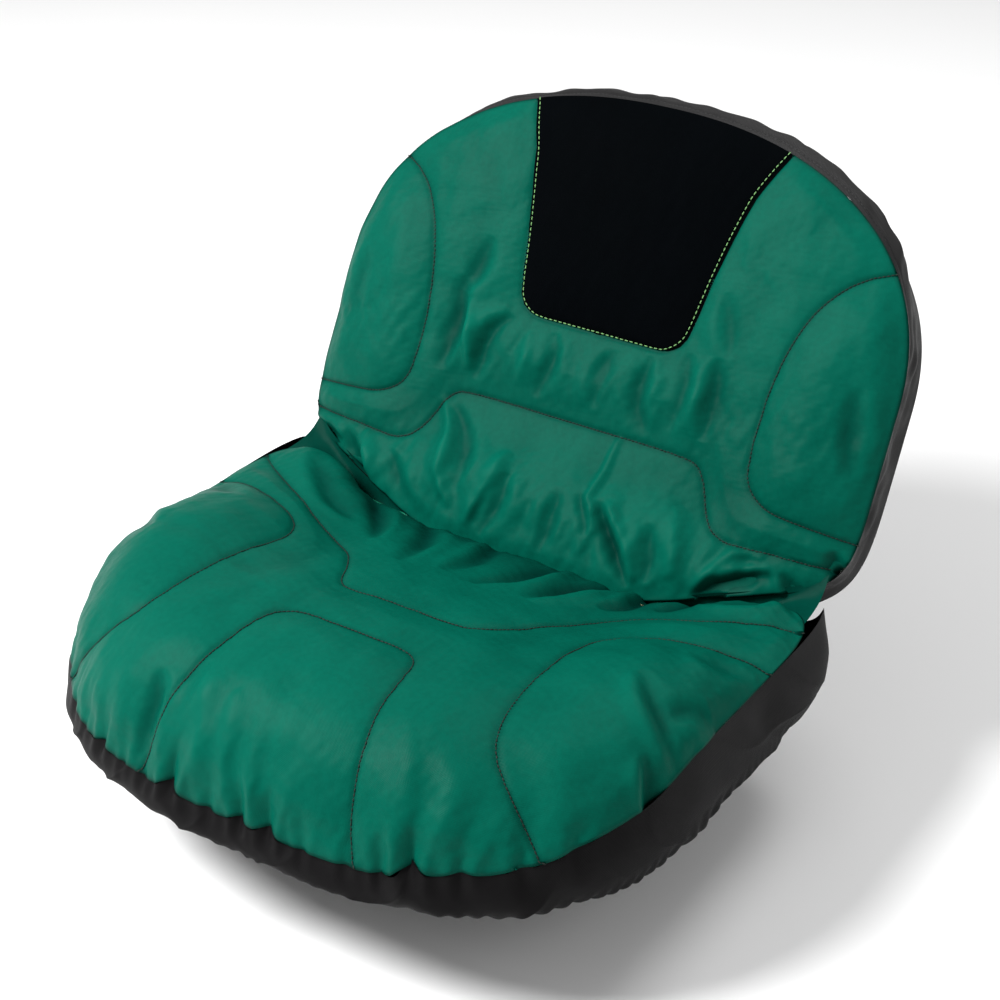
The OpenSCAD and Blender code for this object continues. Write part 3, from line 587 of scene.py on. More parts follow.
# %% Thread material
def thread_finish(name, colour, twist=(0.7, 1.3)):
    """Sewing thread: a twisted yarn, with fine diagonal bands in colour and height."""
    material, tree, shader = new_material(name)
    place = add(tree, "ShaderNodeTexCoord").outputs["Object"]
    bands = add(tree, "ShaderNodeTexWave", {"Vector": place, "Scale": 320.0, "Distortion": 1.5},
                bands_direction="DIAGONAL").outputs["Fac"]
    shade = brightened(tree, (*colour, 1), ranged(tree, bands, 0.0, 1.0, *twist))
    tree.links.new(shade, shader.inputs["Base Color"])
    bumped(tree, shader, bands, 0.4, 0.0002)
    shader.inputs["Roughness"].default_value = 0.6
    shader.inputs["Specular IOR Level"].default_value = 0.25
    return material


dark_thread = thread_finish("dark_seam_thread", (0.006, 0.012, 0.008))
pale_thread = thread_finish("pale_green_thread", (0.16, 0.34, 0.12))
grey_thread = thread_finish("grey_top_thread", (0.02, 0.02, 0.021))


# %% Mesh helpers
def made_mesh(name, points, faces, material, chart=None, relief=None):
    """A smooth-shaded object from points in metres. chart is its flat map, in millimetres."""
    mesh = bpy.data.meshes.new(name)
    mesh.from_pydata(np.asarray(points, float).reshape(-1, 3).tolist(), [], [tuple(f) for f in faces])
    mesh.polygons.foreach_set("use_smooth", np.ones(len(mesh.polygons), bool))
    if chart is not None:
        corners = np.zeros(len(mesh.loops), int)
        mesh.loops.foreach_get("vertex_index", corners)
        layer = mesh.uv_layers.new(name="cloth")
        flat = np.asarray(chart, float).reshape(-1, 2) * CHART_SCALE
        layer.data.foreach_set("uv", flat.astype(np.float32)[corners].ravel())
    if relief is not None:
        layer = mesh.attributes.new("relief", "FLOAT", "POINT")
        layer.data.foreach_set("value", np.asarray(relief, np.float32).ravel())
    mesh.materials.append(material)
    mesh.update()
    thing = bpy.data.objects.new(name, mesh)
    scene.collection.objects.link(thing)
    return thing


def padded_piece(name, grid, outer, under, chart, relief, material):
    """Closes a grid of outer points with rings of under points, from the rim to the middle."""
    n = len(grid.rim)
    rings = [outer.reshape(-1, 3)] + list(under)
    points = np.concatenate(rings + [under[-1].mean(axis=0, keepdims=True)])
    faces = grid.faces.tolist()
    starts = [(grid.cells + 1) ** 2 + k * n for k in range(len(under))]
    before = grid.rim
    for start in starts:
        after = start + np.arange(n)
        faces += [(before[(i + 1) % n], before[i], after[i], after[(i + 1) % n]) for i in range(n)]
        before = after
    faces += [(before[(i + 1) % n], before[i], len(points) - 1) for i in range(n)]
    flat = np.asarray(chart, float).reshape(-1, 2)
    more = len(points) - len(flat)
    charts = np.concatenate([flat] + [flat[grid.rim]] * len(under) + [flat[:1]])
    reliefs = np.concatenate([np.asarray(relief, float).ravel(), np.full(more, 0.4)])
    return made_mesh(name, placed(points), faces, material, charts, reliefs)


# %% [markdown]
# ## The cushion panel
#
# The cushion's top is one padded panel that falls over the front lip like a short waterfall. Its
# wadding puffs it up between the seams, the elastic hem gathers it along the lip, and the back
# presses it into the crease.


# %% Cushion surface
def seat_surface(share, angle, lift=0.0, inset=0.0):
    """Points of the cushion's panel in the seat frame."""
    rim_x, rim_y = seat_rim(angle, inset)
    x, y = rim_x * share, MIDDLE_Y + (rim_y - MIDDLE_Y) * share
    w = share ** 8
    z = (seat_top(x, y) - lift) * (1 - w) + (panel_seam(rim_x, rim_y) + edge_rise(rim_x, rim_y)) * w
    return np.stack([x, y, z], -1)


front_pinches = [(-207, 6, 0), (-180, 8, 1), (-160, 7, 0), (-134, 10, 4), (-108, 7, 0), (-86, 8, 1),
                 (-60, 11, 9), (-26, 10, 2), (1, 9, 6), (24, 11, 7), (52, 8, 1), (84, 9, 1),
                 (108, 8, 2), (128, 11, 10), (158, 9, 3), (190, 8, 2), (214, 8, 2)]


def edge_rise(x, y):
    """How far the gathers pull the panel's edge up along the lip."""
    lip = ease((-150 - y) / 60)
    lean = 8 * ease((x - 105) / 50) - 4 * ease((-x - 100) / 60)
    return lip * (lean + sum(rise * np.exp(-((x - at) / 9) ** 2) for at, _, rise in front_pinches))


def pinched(chart, climb):
    """Depth of the V-shaped pinches that the gathers draw up the lip, at a climb above the rim."""
    lip = ease((-170 - chart[..., 1]) / 60)
    total = np.zeros(chart.shape[:-1])
    for at, width, rise in front_pinches:
        lean = 0.16 * math.copysign(1, at)
        off = (chart[..., 0] - at + lean * climb) / (width * (0.42 + 0.012 * climb))
        depth = (1.2 + 0.55 * rise) * lip * ease(1 - climb / (34 + 3 * rise))
        total += depth * (-np.exp(-off ** 2) + 0.45 * np.exp(-(np.abs(off) - 1.9) ** 2))
    return total


def seat_section(share):
    """A curve from the middle to the rim, as far across and as steep as the cushion is on average."""
    front = seat_surface(share, np.full_like(share, 1.5 * math.pi))
    side = seat_surface(share, np.zeros_like(share))
    return (SEAT_FRONT * share + HALF_W * share) / 2, (front[..., 2] + side[..., 2]) / 2


def seat_grid(cells):
    """The cushion's bent grid."""
    return Grid(cells, seat_rim, HALF_W, (SEAT_REAR, SEAT_FRONT), seat_section)


COARSE_CELLS, FINE_CELLS, FOAM_CELLS = 56, 240, 80
coarse_seat, fine_seat = seat_grid(COARSE_CELLS), seat_grid(FINE_CELLS)
print("cushion rings every", round(fine_seat.length / (FINE_CELLS / 2), 1), "mm")

# %% [markdown]
# ## The cloth simulation
#
# Sewn cloth over wadding puckers, because the seams are shorter than the cloth between them. Here each
# panel is cut a little too long, held at its seams and rim, and blown up by a light pressure. The grid
# is coarse, since a fine one gives small leathery wrinkles, and the result is smoothed and capped.


# %% Cloth simulation helper
SMOOTHING_PASSES = 2
RIM_LEVEL, LOOSE_HOLD = 0.985, 0.30
SLACK, PRESSURE = 0.03, 2.0


def held_places(chart, seams, level, patch=0.0):
    """How firmly each point is held: fully at the seams, rim and patch, and loosely elsewhere."""
    held = np.maximum(np.clip(1.3 - to_seams(chart, seams) / 9.0, 0, 1), patch)
    return np.maximum(np.maximum(held, level > RIM_LEVEL), LOOSE_HOLD)


def puckered(name, points, faces, held, slack, pressure, frames=26, cap=4.0, bend=2.0):
    """Drops a panel into a cloth simulation, held where held is 1, and returns how far each point moves.

    slack is how much longer than its place the cloth is cut. The result is capped, in millimetres."""
    thing = made_mesh(name, placed(points), faces, green_cloth)
    group = thing.vertex_groups.new(name="held")
    flat_held = held.ravel()
    for k in np.flatnonzero(flat_held > 0.02):
        group.add([int(k)], float(flat_held[k]), "REPLACE")
    cloth = thing.modifiers.new("cloth", "CLOTH")
    rules = cloth.settings
    rules.quality = 6
    rules.mass = 0.25
    rules.tension_stiffness = rules.compression_stiffness = 18
    rules.shear_stiffness = 6
    rules.bending_stiffness = bend
    rules.air_damping = 2
    rules.vertex_group_mass = "held"
    rules.pin_stiffness = 1
    rules.shrink_min = -slack
    rules.use_pressure = True
    rules.uniform_pressure_force = pressure
    rules.effector_weights.gravity = 0
    cloth.collision_settings.use_collision = False
    cloth.point_cache.frame_start, cloth.point_cache.frame_end = 1, frames
    for step in range(1, frames + 1):
        scene.frame_set(step)
    settled = thing.evaluated_get(bpy.context.evaluated_depsgraph_get()).to_mesh()
    moved = np.zeros(len(settled.vertices) * 3, np.float32)
    settled.vertices.foreach_get("co", moved)
    moved = moved.reshape(-1, 3) / MM - ORIGIN - np.asarray(points).reshape(-1, 3)
    scene.frame_set(1)
    bpy.data.objects.remove(thing)
    moved = moved.reshape(np.asarray(points).shape)
    for _ in range(SMOOTHING_PASSES):
        for axis in (0, 1):
            moved = (np.roll(moved, 1, axis) + 2 * moved + np.roll(moved, -1, axis)) / 4
    moved = moved.reshape(-1, 3)
    size = np.linalg.norm(moved, axis=1, keepdims=True)
    moved *= cap * np.tanh(size / cap) / np.maximum(size, 1e-9)
    print(name, "moved", round(float(size.mean()), 2), "mm on average, most", round(float(size.max()), 1))
    return moved.reshape(np.asarray(points).shape)


# %% [markdown]
# ## Folds of the cushion
#
# The back pushes the cushion's cloth into folds that fan out from the crease, and the hem draws a few
# slanting ones up the lip. The simulation is too shallow for these, so they are rows of a table.

# %% Cushion folds
seat_folds = [
    ([(-205, 60), (-160, 18), (-120, -2)], 9, 3.0, -0.6),
    ([(-150, 62), (-112, 18), (-88, -18)], 8, 3.5, 0.6),
    ([(-95, 60), (-62, 10), (-48, -42)], 9, 3.6, 0.5),
    ([(-30, 62), (-14, 12), (-16, -34)], 8, 3.2, -0.5),
    ([(30, 62), (28, 6), (12, -38)], 9, 3.8, 0.5),
    ([(84, 62), (64, 12), (52, -30)], 9, 4.6, 0.5),
    ([(105, 66), (110, 26), (96, 2)], 7, 3.8, -0.6),
    ([(150, 74), (150, 44), (132, 22)], 8, 3.4, -0.6),
    ([(205, 76), (190, 52), (160, 40)], 7, 2.6, 0.6),
    ([(190, -100), (213, -122), (240, -140)], 8, 2.6, -0.8),
    ([(222, -152), (232, -160), (240, -172)], 7, 3.0, -0.8),
    ([(236, -88), (226, -104), (222, -118)], 8, 2.4, 0.7),
    ([(-236, -100), (-222, -120), (-206, -130)], 8, 2.4, 0.7),
    ([(238, -30), (214, -44), (196, -46)], 10, 2.0, 0.5),
    ([(-238, -20), (-214, -40), (-190, -50)], 10, 2.2, 0.5),
    ([(-60, -236), (-44, -262), (-36, -284)], 10, -2.5, 0),
    ([(-28, -246), (-20, -262), (-16, -280)], 8, -2.0, 0),
    ([(-96, -248), (-90, -264), (-94, -284)], 8, 3.4, 0.6),
]

# %% Simulate the cushion's cloth
seat_mid_points = seat_surface(coarse_seat.share, coarse_seat.angle)


def simulate_seat():
    """How far the cushion's cloth moves from its tailored shape, on the coarse grid."""
    held = held_places(seat_mid_points[..., :2], seat_seams, coarse_seat.level)
    return puckered("cushion_trial", seat_mid_points, coarse_seat.faces.tolist(), held, SLACK, PRESSURE)


seat_moved = simulate_seat()

# %% [markdown]
# ## From tailored shape to padded panel
#
# Both panels are finished in the same way. The wadding rises between the seams, a groove runs along
# each, and folds and ripples are added. A shade from 0 in the valleys to 1 on the ridges goes with
# the mesh, for the cloth's dirt and wear and for painted shade in its valleys, grooves and rim. The
# underside follows the face at the panel's thickness.


# %% What both panels share
PANEL_DEPTH = 7.0
UNDER_SHARES = (1.0, 0.97, 0.88, 0.7, 0.45, 0.2)
FINE_RIPPLE, FINE_RIPPLE_SIZE = 0.12, 7


def wadding(d, to_rim, crown):
    """Height of the wadding at a distance from the seams, up to crown."""
    return crown * (1 - np.exp(-(np.minimum(d, 60) / 24) ** 1.5)) * ease(to_rim / 0.1)


def seam_groove(d):
    """Depth of the groove that stitching pulls, sharp at the seam and soft beside it."""
    return -1.3 * np.exp(-(d / 1.7) ** 2) - 0.5 * np.exp(-(d / 5.0) ** 2)


def raised(points, normal, height, chart, to_rim, seed):
    """The points moved out by a height and by a fine ripple."""
    fine = FINE_RIPPLE * wavy(chart[..., 0], chart[..., 1], FINE_RIPPLE_SIZE, seed, 2)
    return points + normal * height[..., None] + normal * (fine * ease(to_rim / 0.03))[..., None]


def cloth_shade(moved, normal, groove, folds, to_edge):
    """Share from a dark valley, 0, to a worn ridge, 1. Sunken cloth, seam grooves, fold valleys and the rim are
    darkened partly as dirt and partly as painted shade.
    """
    # Painted shade, with dirt: the share falls where the cloth sinks, in seam grooves and fold valleys, and at the
    # rim.
    depth = (moved * normal).sum(-1) * 0.05 + groove * 0.13 + folds * 0.05
    return 0.5 + np.clip(depth - 0.25 * np.exp(-(to_edge / 2.5) ** 2), -0.5, 0.35)


# %% Finish the cushion panel
points = seat_surface(fine_seat.share, fine_seat.angle)
chart = points[..., :2].copy()
moved = finer(seat_moved, fine_seat.cells)
to_rim = 1 - fine_seat.level
normal = grid_normals(points + moved)
creases = folded(chart, seat_folds)
d_seam = to_seams(chart, seat_seams)
groove = seam_groove(d_seam)
lip = ease((-170 - chart[..., 1]) / 60)
climb = to_rim * fine_seat.length
ripple = wavy(chart[..., 0], chart[..., 1] + 0.6 * points[..., 2], 34, 3)
ripple_height = 0.35 + 0.9 * lip * ease(1 - climb / 60) + 0.8 * ease((chart[..., 1] - 5) / 50)
relief_mm = wadding(d_seam, to_rim, 4.5) + creases + pinched(chart, climb)
relief_mm += ripple * ripple_height * ease(to_rim / 0.04)
relief_mm += groove * ease(to_rim / 0.015)
outer = raised(points + moved, normal, relief_mm, chart, to_rim, 5)
# Painted shade: the cushion's middle is darkened towards the crease, where the back shades it.
painted_crease_shade = ease((chart[..., 1] + 20) / 75) * (1 - ease((np.abs(chart[..., 0]) - 110) / 110))
shade = cloth_shade(moved, normal, groove, creases, climb) - 0.26 * painted_crease_shade
rim_angle = fine_seat.angle.ravel()[fine_seat.rim]
under = [seat_surface(np.full_like(rim_angle, share), rim_angle, lift=PANEL_DEPTH, inset=PANEL_DEPTH)
         for share in UNDER_SHARES]
cushion = padded_piece("cover_seat", fine_seat, outer, under, chart, shade, green_cloth)
seat_outer, seat_normal, seat_chart = outer, normal, chart
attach(cushion, "seat")
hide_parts("cover_seat_panel")
print("cushion", len(cushion.data.polygons), "faces")

# %% [markdown]
# ## The back panel
#
# The back is one padded panel on a leaning, gently bent board. Its foot laps over the crease like a
# lumbar roll, and it is creased where it folds towards the cushion.


# %% Back surface
def back_surface(share, angle, lift=0.0, inset=0.0):
    """Points of the back's panel in the seat frame, with their x and t."""
    rim_x, rim_t = back_rim(angle, inset)
    low = ease((np.sin(-angle) - 0.2) / 0.5)
    rim_t = rim_t - 20 * low * (1 - ease((np.abs(rim_x) - 70) / 90)) * (1 - inset / 20)
    x, t = rim_x * share, BACK_MID + (rim_t - BACK_MID) * share
    roll = share ** 6
    h = (back_front(x, t) - lift) * (1 - roll)
    h = h + 9 * np.exp(-((t - 34) / 34) ** 2) * (1 - ease((np.abs(x) - 90) / 90)) * (1 - roll)
    h = h - 4 * roll * low * (1 - ease((np.abs(x) - 70) / 90))
    return back_point(x, t, h), np.stack([x, t], -1)


def back_section(share):
    """A curve from the middle to the rim, as far across and as steep as the back is on average."""
    side = back_surface(share, np.zeros_like(share))[0]
    return (BACK_MID * share + BACK_HALF * share) / 2, (side[..., 2] - side[0, 2]) * 1.5


def back_grid(cells):
    """The back's bent grid."""
    return Grid(cells, back_rim, BACK_HALF, (BACK_MID, BACK_MID), back_section)


coarse_back, fine_back = back_grid(COARSE_CELLS), back_grid(FINE_CELLS)


def head_half(t):
    """Half width of the head panel at each height."""
    x, high = np.asarray(head_edge[::-1], float).T
    return np.interp(t, high, x)


back_mid_points, back_mid_chart = back_surface(coarse_back.share, coarse_back.angle)


def simulate_back():
    """How far the back's cloth moves from its tailored shape. The head panel holds it flat."""
    high = back_mid_chart[..., 1]
    patch = (high > head_edge[-1][1]) & (np.abs(back_mid_chart[..., 0]) < head_half(high) + 4)
    held = held_places(back_mid_chart, back_seams + [head_line], coarse_back.level, patch)
    return puckered("back_trial", back_mid_points, coarse_back.faces.tolist(), held, SLACK, PRESSURE)


back_moved = simulate_back()

# %% [markdown]
# ## Folds of the back
#
# Short upright folds hang between the head panel and the lumbar seam, and deeper ones run down into
# the crease, where the cloth has more length than it needs.

# %% Back folds
back_folds = [
    ([(-127, 188), (-122, 150), (-128, 112)], 9, 3.4, 0.6),
    ([(-116, 172), (-104, 145), (-98, 118)], 6, -3.0, 0),
    ([(-74, 168), (-88, 150), (-94, 112)], 7, 3.4, -0.6),
    ([(-56, 160), (-52, 138), (-54, 116)], 6, -2.4, 0),
    ([(-34, 164), (-30, 140), (-38, 112)], 7, 2.2, 0.5),
    ([(20, 164), (12, 140), (14, 116)], 7, 1.8, -0.5),
    ([(50, 166), (48, 132), (62, 108)], 8, 3.2, 0.5),
    ([(80, 176), (84, 146), (80, 116)], 7, 2.2, 0.5),
    ([(104, 178), (108, 144), (106, 116)], 8, 3.2, -0.6),
    ([(-108, 222), (-114, 196), (-122, 176)], 9, 2.4, 0.5),
    ([(96, 226), (104, 204), (112, 180)], 8, 1.8, -0.5),
    ([(214, 184), (218, 156), (224, 118)], 9, 3.0, 0.6),
    ([(-218, 190), (-222, 160), (-224, 128)], 9, 2.0, -0.6),
    ([(-118, 92), (-98, 62), (-92, 26), (-74, 4)], 6, -4.2, 0),
    ([(-104, 88), (-80, 52), (-76, 14)], 9, 2.8, 0.4),
    ([(-42, 62), (-50, 30), (-60, -4)], 7, -3.4, 0),
    ([(-34, 44), (-34, 18), (-44, -8)], 7, 3.0, 0.4),
    ([(10, 44), (14, 22), (8, -6)], 7, 2.4, -0.5),
    ([(42, 104), (40, 70), (36, 34)], 4, -2.4, 0),
    ([(28, 46), (36, 32), (44, 14)], 5, 2.8, 0.5),
    ([(46, 44), (58, 26), (74, 8), (88, -8)], 6, 6.0, 0.6),
    ([(106, 62), (112, 34), (118, 6)], 9, -3.2, 0),
    ([(136, 0), (152, 12), (172, 24), (192, 34)], 6, 6.0, 0.6),
    ([(150, 22), (166, 34), (184, 40)], 5, 3.0, 0.5),
    ([(90, 40), (98, 20), (100, -2)], 7, 3.2, -0.5),
    ([(228, 66), (234, 54), (240, 42)], 6, 4.0, 0.5),
    ([(-240, 42), (-222, 36), (-196, 30)], 5, 3.4, 0.6),
    ([(-176, 44), (-158, 18), (-140, 0)], 8, -3.2, 0),
    ([(-196, 40), (-172, 14), (-156, 0)], 7, 3.4, 0.5),
    ([(-146, 34), (-130, 14), (-112, -2)], 7, 2.8, 0.4),
    ([(196, 38), (210, 28), (222, 24)], 5, 3.0, -0.5),
]

# %% Finish the back panel
back_lines = back_seams + [head_line]


def back_relief(chart, to_rim):
    """Height of the wadding, folds and ripples over the back, and of its seam grooves."""
    d = to_seams(chart, back_lines)
    ripple = wavy(chart[..., 0] * 1.6, chart[..., 1], 40, 11)
    bent = np.exp(-((chart[..., 1] - 20) / 30) ** 2) + 0.8 * np.exp(-((chart[..., 1] - 140) / 24) ** 2)
    groove = seam_groove(d)
    height = wadding(d, to_rim, 5.0) + folded(chart, back_folds)
    height += ripple * (0.3 + 1.0 * bent) * ease(to_rim / 0.04)
    return height + groove * ease(to_rim / 0.015), groove


points, chart = back_surface(fine_back.share, fine_back.angle)
moved = finer(back_moved, fine_back.cells)
to_rim = 1 - fine_back.level
normal = grid_normals(points + moved)
relief_mm, groove = back_relief(chart, to_rim)
outer = raised(points + moved, normal, relief_mm, chart, to_rim, 15)
shade = cloth_shade(moved, normal, groove, folded(chart, back_folds), to_rim * fine_back.length)
rim_angle = fine_back.angle.ravel()[fine_back.rim]
under = [back_surface(np.full_like(rim_angle, share), rim_angle, lift=PANEL_DEPTH, inset=PANEL_DEPTH)[0]
         for share in UNDER_SHARES]
back_pad = padded_piece("cover_back", fine_back, outer, under, chart, shade, green_cloth)
back_outer, back_normal, back_chart = outer, normal, chart
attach(back_pad, "seat")
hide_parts("cover_back_panel")
print("back", len(back_pad.data.polygons), "faces")

# %% [markdown]
# ## The head panel
#
# A black piece is sewn over the top of the back, narrow below and wide at the top. It is one layer of
# flat cloth, so it is a grid laid a hair above the padding, and its edge follows its own seam line.


# %% Grids of cloth
def grid_faces(rows, columns, wrap=False, flip=False):
    """Quads over a grid of rows by columns. wrap joins the last row to the first."""
    i, j = np.meshgrid(np.arange(rows if wrap else rows - 1), np.arange(columns - 1), indexing="ij")
    a, b = i * columns + j, (i + 1) % rows * columns + j
    quads = np.stack([a, b, b + 1, a + 1], -1).reshape(-1, 4)
    return (quads[:, ::-1] if flip else quads).tolist()


def grid_area(points):
    """Area of a grid of points in square metres, from millimetres."""
    a = np.cross(points[1:, 1:] - points[:-1, :-1], points[1:, :-1] - points[:-1, 1:])
    return float(np.linalg.norm(a, axis=-1).sum() / 2) * MM * MM


def back_share(x, t, inset=0.0, foot_cut=0.0):
    """The share and angle at which a place on the back lies."""
    angle = np.arctan2(t - BACK_MID, x)
    rim_x, rim_t = back_rim(angle, inset, foot_cut)
    return np.hypot(x, t - BACK_MID) / np.hypot(rim_x, rim_t - BACK_MID), angle


# %% Head panel
HEAD_LOW, HEAD_HALF = 171.3, 111
HEAD_COLUMNS, HEAD_ROWS = 121, 101
across, up = np.meshgrid(np.linspace(-1, 1, HEAD_COLUMNS), np.linspace(0, 1, HEAD_ROWS) ** 1.4,
                         indexing="ij")
top_t = BACK_MID + BACK_MID * (1 - (np.abs(across) * HEAD_HALF / BACK_HALF) ** 2.25) ** (1 / 2.25)
head_t = HEAD_LOW + (top_t - 0.3 - HEAD_LOW) * up
head_x = across * (head_half(head_t) + 1.0)
share, angle = back_share(head_x, head_t)
head_base, head_chart = back_surface(np.minimum(share, 0.9995), angle)
head_normal = grid_normals(head_base)
head_height = back_relief(head_chart, np.clip((1 - share) * 0.9, 0, 1))[0]
edge = np.minimum(np.minimum(1 - np.abs(across), up) * 30, 1)
head_points = head_base + head_normal * (head_height + 0.5 + 0.8 * ease(edge))[..., None]
head_relief = 0.5 - 0.3 * np.exp(-(edge / 0.4) ** 2) + 0.05 * wavy(head_x, head_t, 60, 17)
head_patch = made_mesh("head_patch", placed(head_points), grid_faces(HEAD_COLUMNS, HEAD_ROWS), head_cloth,
                       head_chart, head_relief)
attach(head_patch, "seat")
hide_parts("cover_head_panel")
print("head panel area", round(grid_area(head_base), 4), "m2")

# %% [markdown]
# ## Skirt and hem
#
# The skirt hangs from the cushion's edge, and elastic in its hem draws it in under the pan. So its
# cloth is longer than its place and lies in slanting folds, with small scallops along the hem. The
# wall follows a line of design points from seam to hem, and three kinds of wave gather it.

# %% Skirt shape
SKIRT_REAR = hem_high.y / MM - ORIGIN[1] - MIDDLE_Y - 2
HEM_TUCK = 26
around = np.linspace(0, 2 * math.pi, 901)[:-1] + math.pi / 2
rim_x, rim_y = seat_rim(around, 0.0, SKIRT_REAR, 0)
steps = np.hypot(np.diff(rim_x, append=rim_x[:1]), np.diff(rim_y, append=rim_y[:1]))
arc = np.concatenate([[0], np.cumsum(steps)[:-1]])
arc_len = float(steps.sum())
skirt_top = side_seam(rim_y) - 48 * ease((rim_y - CREASE_Y - 20) / 43)
print("skirt outline", round(arc_len), "mm round")


def skirt_place(at, inset_more):
    """Points of the skirt at places 0 (seam) to 5 (elastic) down its line."""
    top = skirt_top + edge_rise(rim_x, rim_y)
    line = np.array([[0 * top, top], [-4 + 0 * top, 0.55 * top], [-3 + 0 * top, 0.3 * top],
                     [3 + 0 * top, 7 + 0 * top], [12 + 0 * top, 0.3 + 0 * top],
                     [HEM_TUCK + 0 * top, 0.4 + 0 * top]])
    rows = between(line, at)
    inset, z = rows[:, 0].T, rows[:, 1].T
    x, y = seat_rim(around[:, None], inset - inset_more, SKIRT_REAR, 0)
    return np.stack([x, y, z], -1)


def gathers(at):
    """How far the folds push the skirt out, at each angle and place."""
    s, q = arc[:, None], at[None, :]
    z = np.maximum(0, skirt_top[:, None] * (1 - q / 3))
    turn = 2 * math.pi / arc_len
    ring = [np.cos(turn * s) * arc_len / 6.28, np.sin(turn * s) * arc_len / 6.28]
    broad = wavy(ring[0] + 0.8 * z, ring[1] - 0.5 * z, 90, 21, 2)
    ridge = 1 - np.abs(wavy(ring[0] + 1.2 * z, ring[1] + 0.9 * z, 110, 8, 1))
    scallop = np.sin(2 * math.pi * (s / 13 + 0.5 * wavy(ring[0], ring[1], 120, 5, 1)))
    uneven = 0.6 + 0.4 * wavy(ring[0], ring[1], 160, 6, 1)
    body = ease(q / 0.8)
    return body * (2.4 * broad + 2.2 * ridge ** 3 * ease((4.6 - q) / 1.5)
                   + 1.5 * uneven * scallop * ease((q - 1.6) / 1.2) * ease((5.4 - q) / 1.2))


# %% Skirt and hem pieces
top_pinch = pinched(np.stack([rim_x, rim_y], -1), np.zeros(len(around)))[:, None]


def skirt_piece(name, start, stop, rows, node):
    """One part of the skirt's line as a sheet, mapped at its flat size."""
    at = np.linspace(start, stop, rows)
    more = gathers(at) + top_pinch * ease(1 - at / 1.2)[None, :]
    points, plain = skirt_place(at, more), skirt_place(at, 0 * more)
    down = np.concatenate([[0], np.cumsum(np.linalg.norm(np.diff(plain.mean(0), axis=0), axis=-1))])
    drop = np.linalg.norm(np.diff(plain, axis=1), axis=-1).sum(1).mean()
    chart = np.stack(np.broadcast_arrays(arc[:, None], at[None, :] * drop / (stop - start)), -1)
    # The relief darkens the gathers' valleys, partly as dirt and partly as painted shade, lightens their ridges,
    # and is darker along the top seam.
    relief = 0.5 + np.clip(0.06 * gathers(at), -0.35, 0.35) - 0.3 * np.exp(-(at / 0.12) ** 2)[None, :]
    piece = made_mesh(name, placed(points), grid_faces(len(around), rows, True, True), black_cloth,
                      chart, relief)
    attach(piece, "seat")
    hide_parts(node)
    return piece


skirt = skirt_piece("skirt_cloth", 0, 3, 44, "cover_skirt")
hem = skirt_piece("hem_cloth", 3, 5, 22, "cover_hem")

# %% [markdown]
# ## Gusset, rear panel and pocket
#
# A charcoal gusset wraps the edge of the back. It stands proud along the top and is drawn in at the
# sides. The rear is one black panel with a patch pocket, bound along its open edge.

# %% Gusset
GUSSET_DEPTH = 44.0
GUSSET_COLUMNS, GUSSET_ROWS = 541, 31
gusset_angle = np.linspace(math.radians(236), math.radians(-56), GUSSET_COLUMNS)[:, None]
down = np.linspace(0, 1, GUSSET_ROWS)[None, :]
puff = -5 + 15 * ease(np.sin(gusset_angle) * 1.2)


def gusset_place(more):
    """Points of the gusset, pushed out by more."""
    x, t = back_rim(gusset_angle, 5 * down ** 2 - puff * np.sin(math.pi * down) - more)
    return back_point(x, t, -0.4 - GUSSET_DEPTH * down + 0 * t)


plain = gusset_place(0.0)
gusset_steps = np.linalg.norm(np.diff(plain[:, GUSSET_ROWS // 2], axis=0), axis=-1)
gusset_arc = np.concatenate([[0], np.cumsum(gusset_steps)])[:, None]
fold = wavy(gusset_arc, down * 60, 95, 31, 2) + 0.8 * wavy(gusset_arc + 40 * down, down * 90, 40, 33, 2)
seam_dip = np.exp(-((down - 0.14) / 0.03) ** 2)
wrinkle = 1.7 * fold * np.sin(math.pi * down) - 0.8 * seam_dip
points = gusset_place(wrinkle)
chart = np.stack(np.broadcast_arrays(gusset_arc, down * GUSSET_DEPTH), -1)
# The relief darkens where the folds sink in, partly as dirt and partly as painted shade, lightens where they bulge,
# and is darker along the seam's dip.
gusset_relief = 0.5 + np.clip(0.12 * fold, -0.3, 0.3) * np.sin(math.pi * down) - 0.35 * seam_dip
gusset = made_mesh("gusset_band", placed(points), grid_faces(GUSSET_COLUMNS, GUSSET_ROWS), charcoal_cloth,
                   chart, gusset_relief)
gusset_points = points
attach(gusset, "seat")
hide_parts("cover_gusset")

# %% [markdown]
# ## Rear panel
#
# The rear is out of sight in most views. It is one taut panel that sags a little into the shell, so a
# bent grid and a shallow dish are enough, with a few broad wrinkles.


# %% Rear panel
REAR_INSET, REAR_CUT, REAR_DEPTH = 5.2, 30.0, 44.2


def rear_place(x, t, lift):
    """Points lift millimetres off the rear panel."""
    share = back_share(x, t, REAR_INSET, REAR_CUT)[0]
    sag = 9 * (1 - np.clip(share, 0, 1) ** 4)
    wrinkle = 1.3 * wavy(x, t * 1.4, 80, 41) * ease((1 - share) / 0.12)
    return back_point(x, t, -(REAR_DEPTH + sag + wrinkle + lift))


def rear_section(share):
    """A curve from the middle to the rim, nearly flat."""
    return 200 * share, 9 * share ** 4


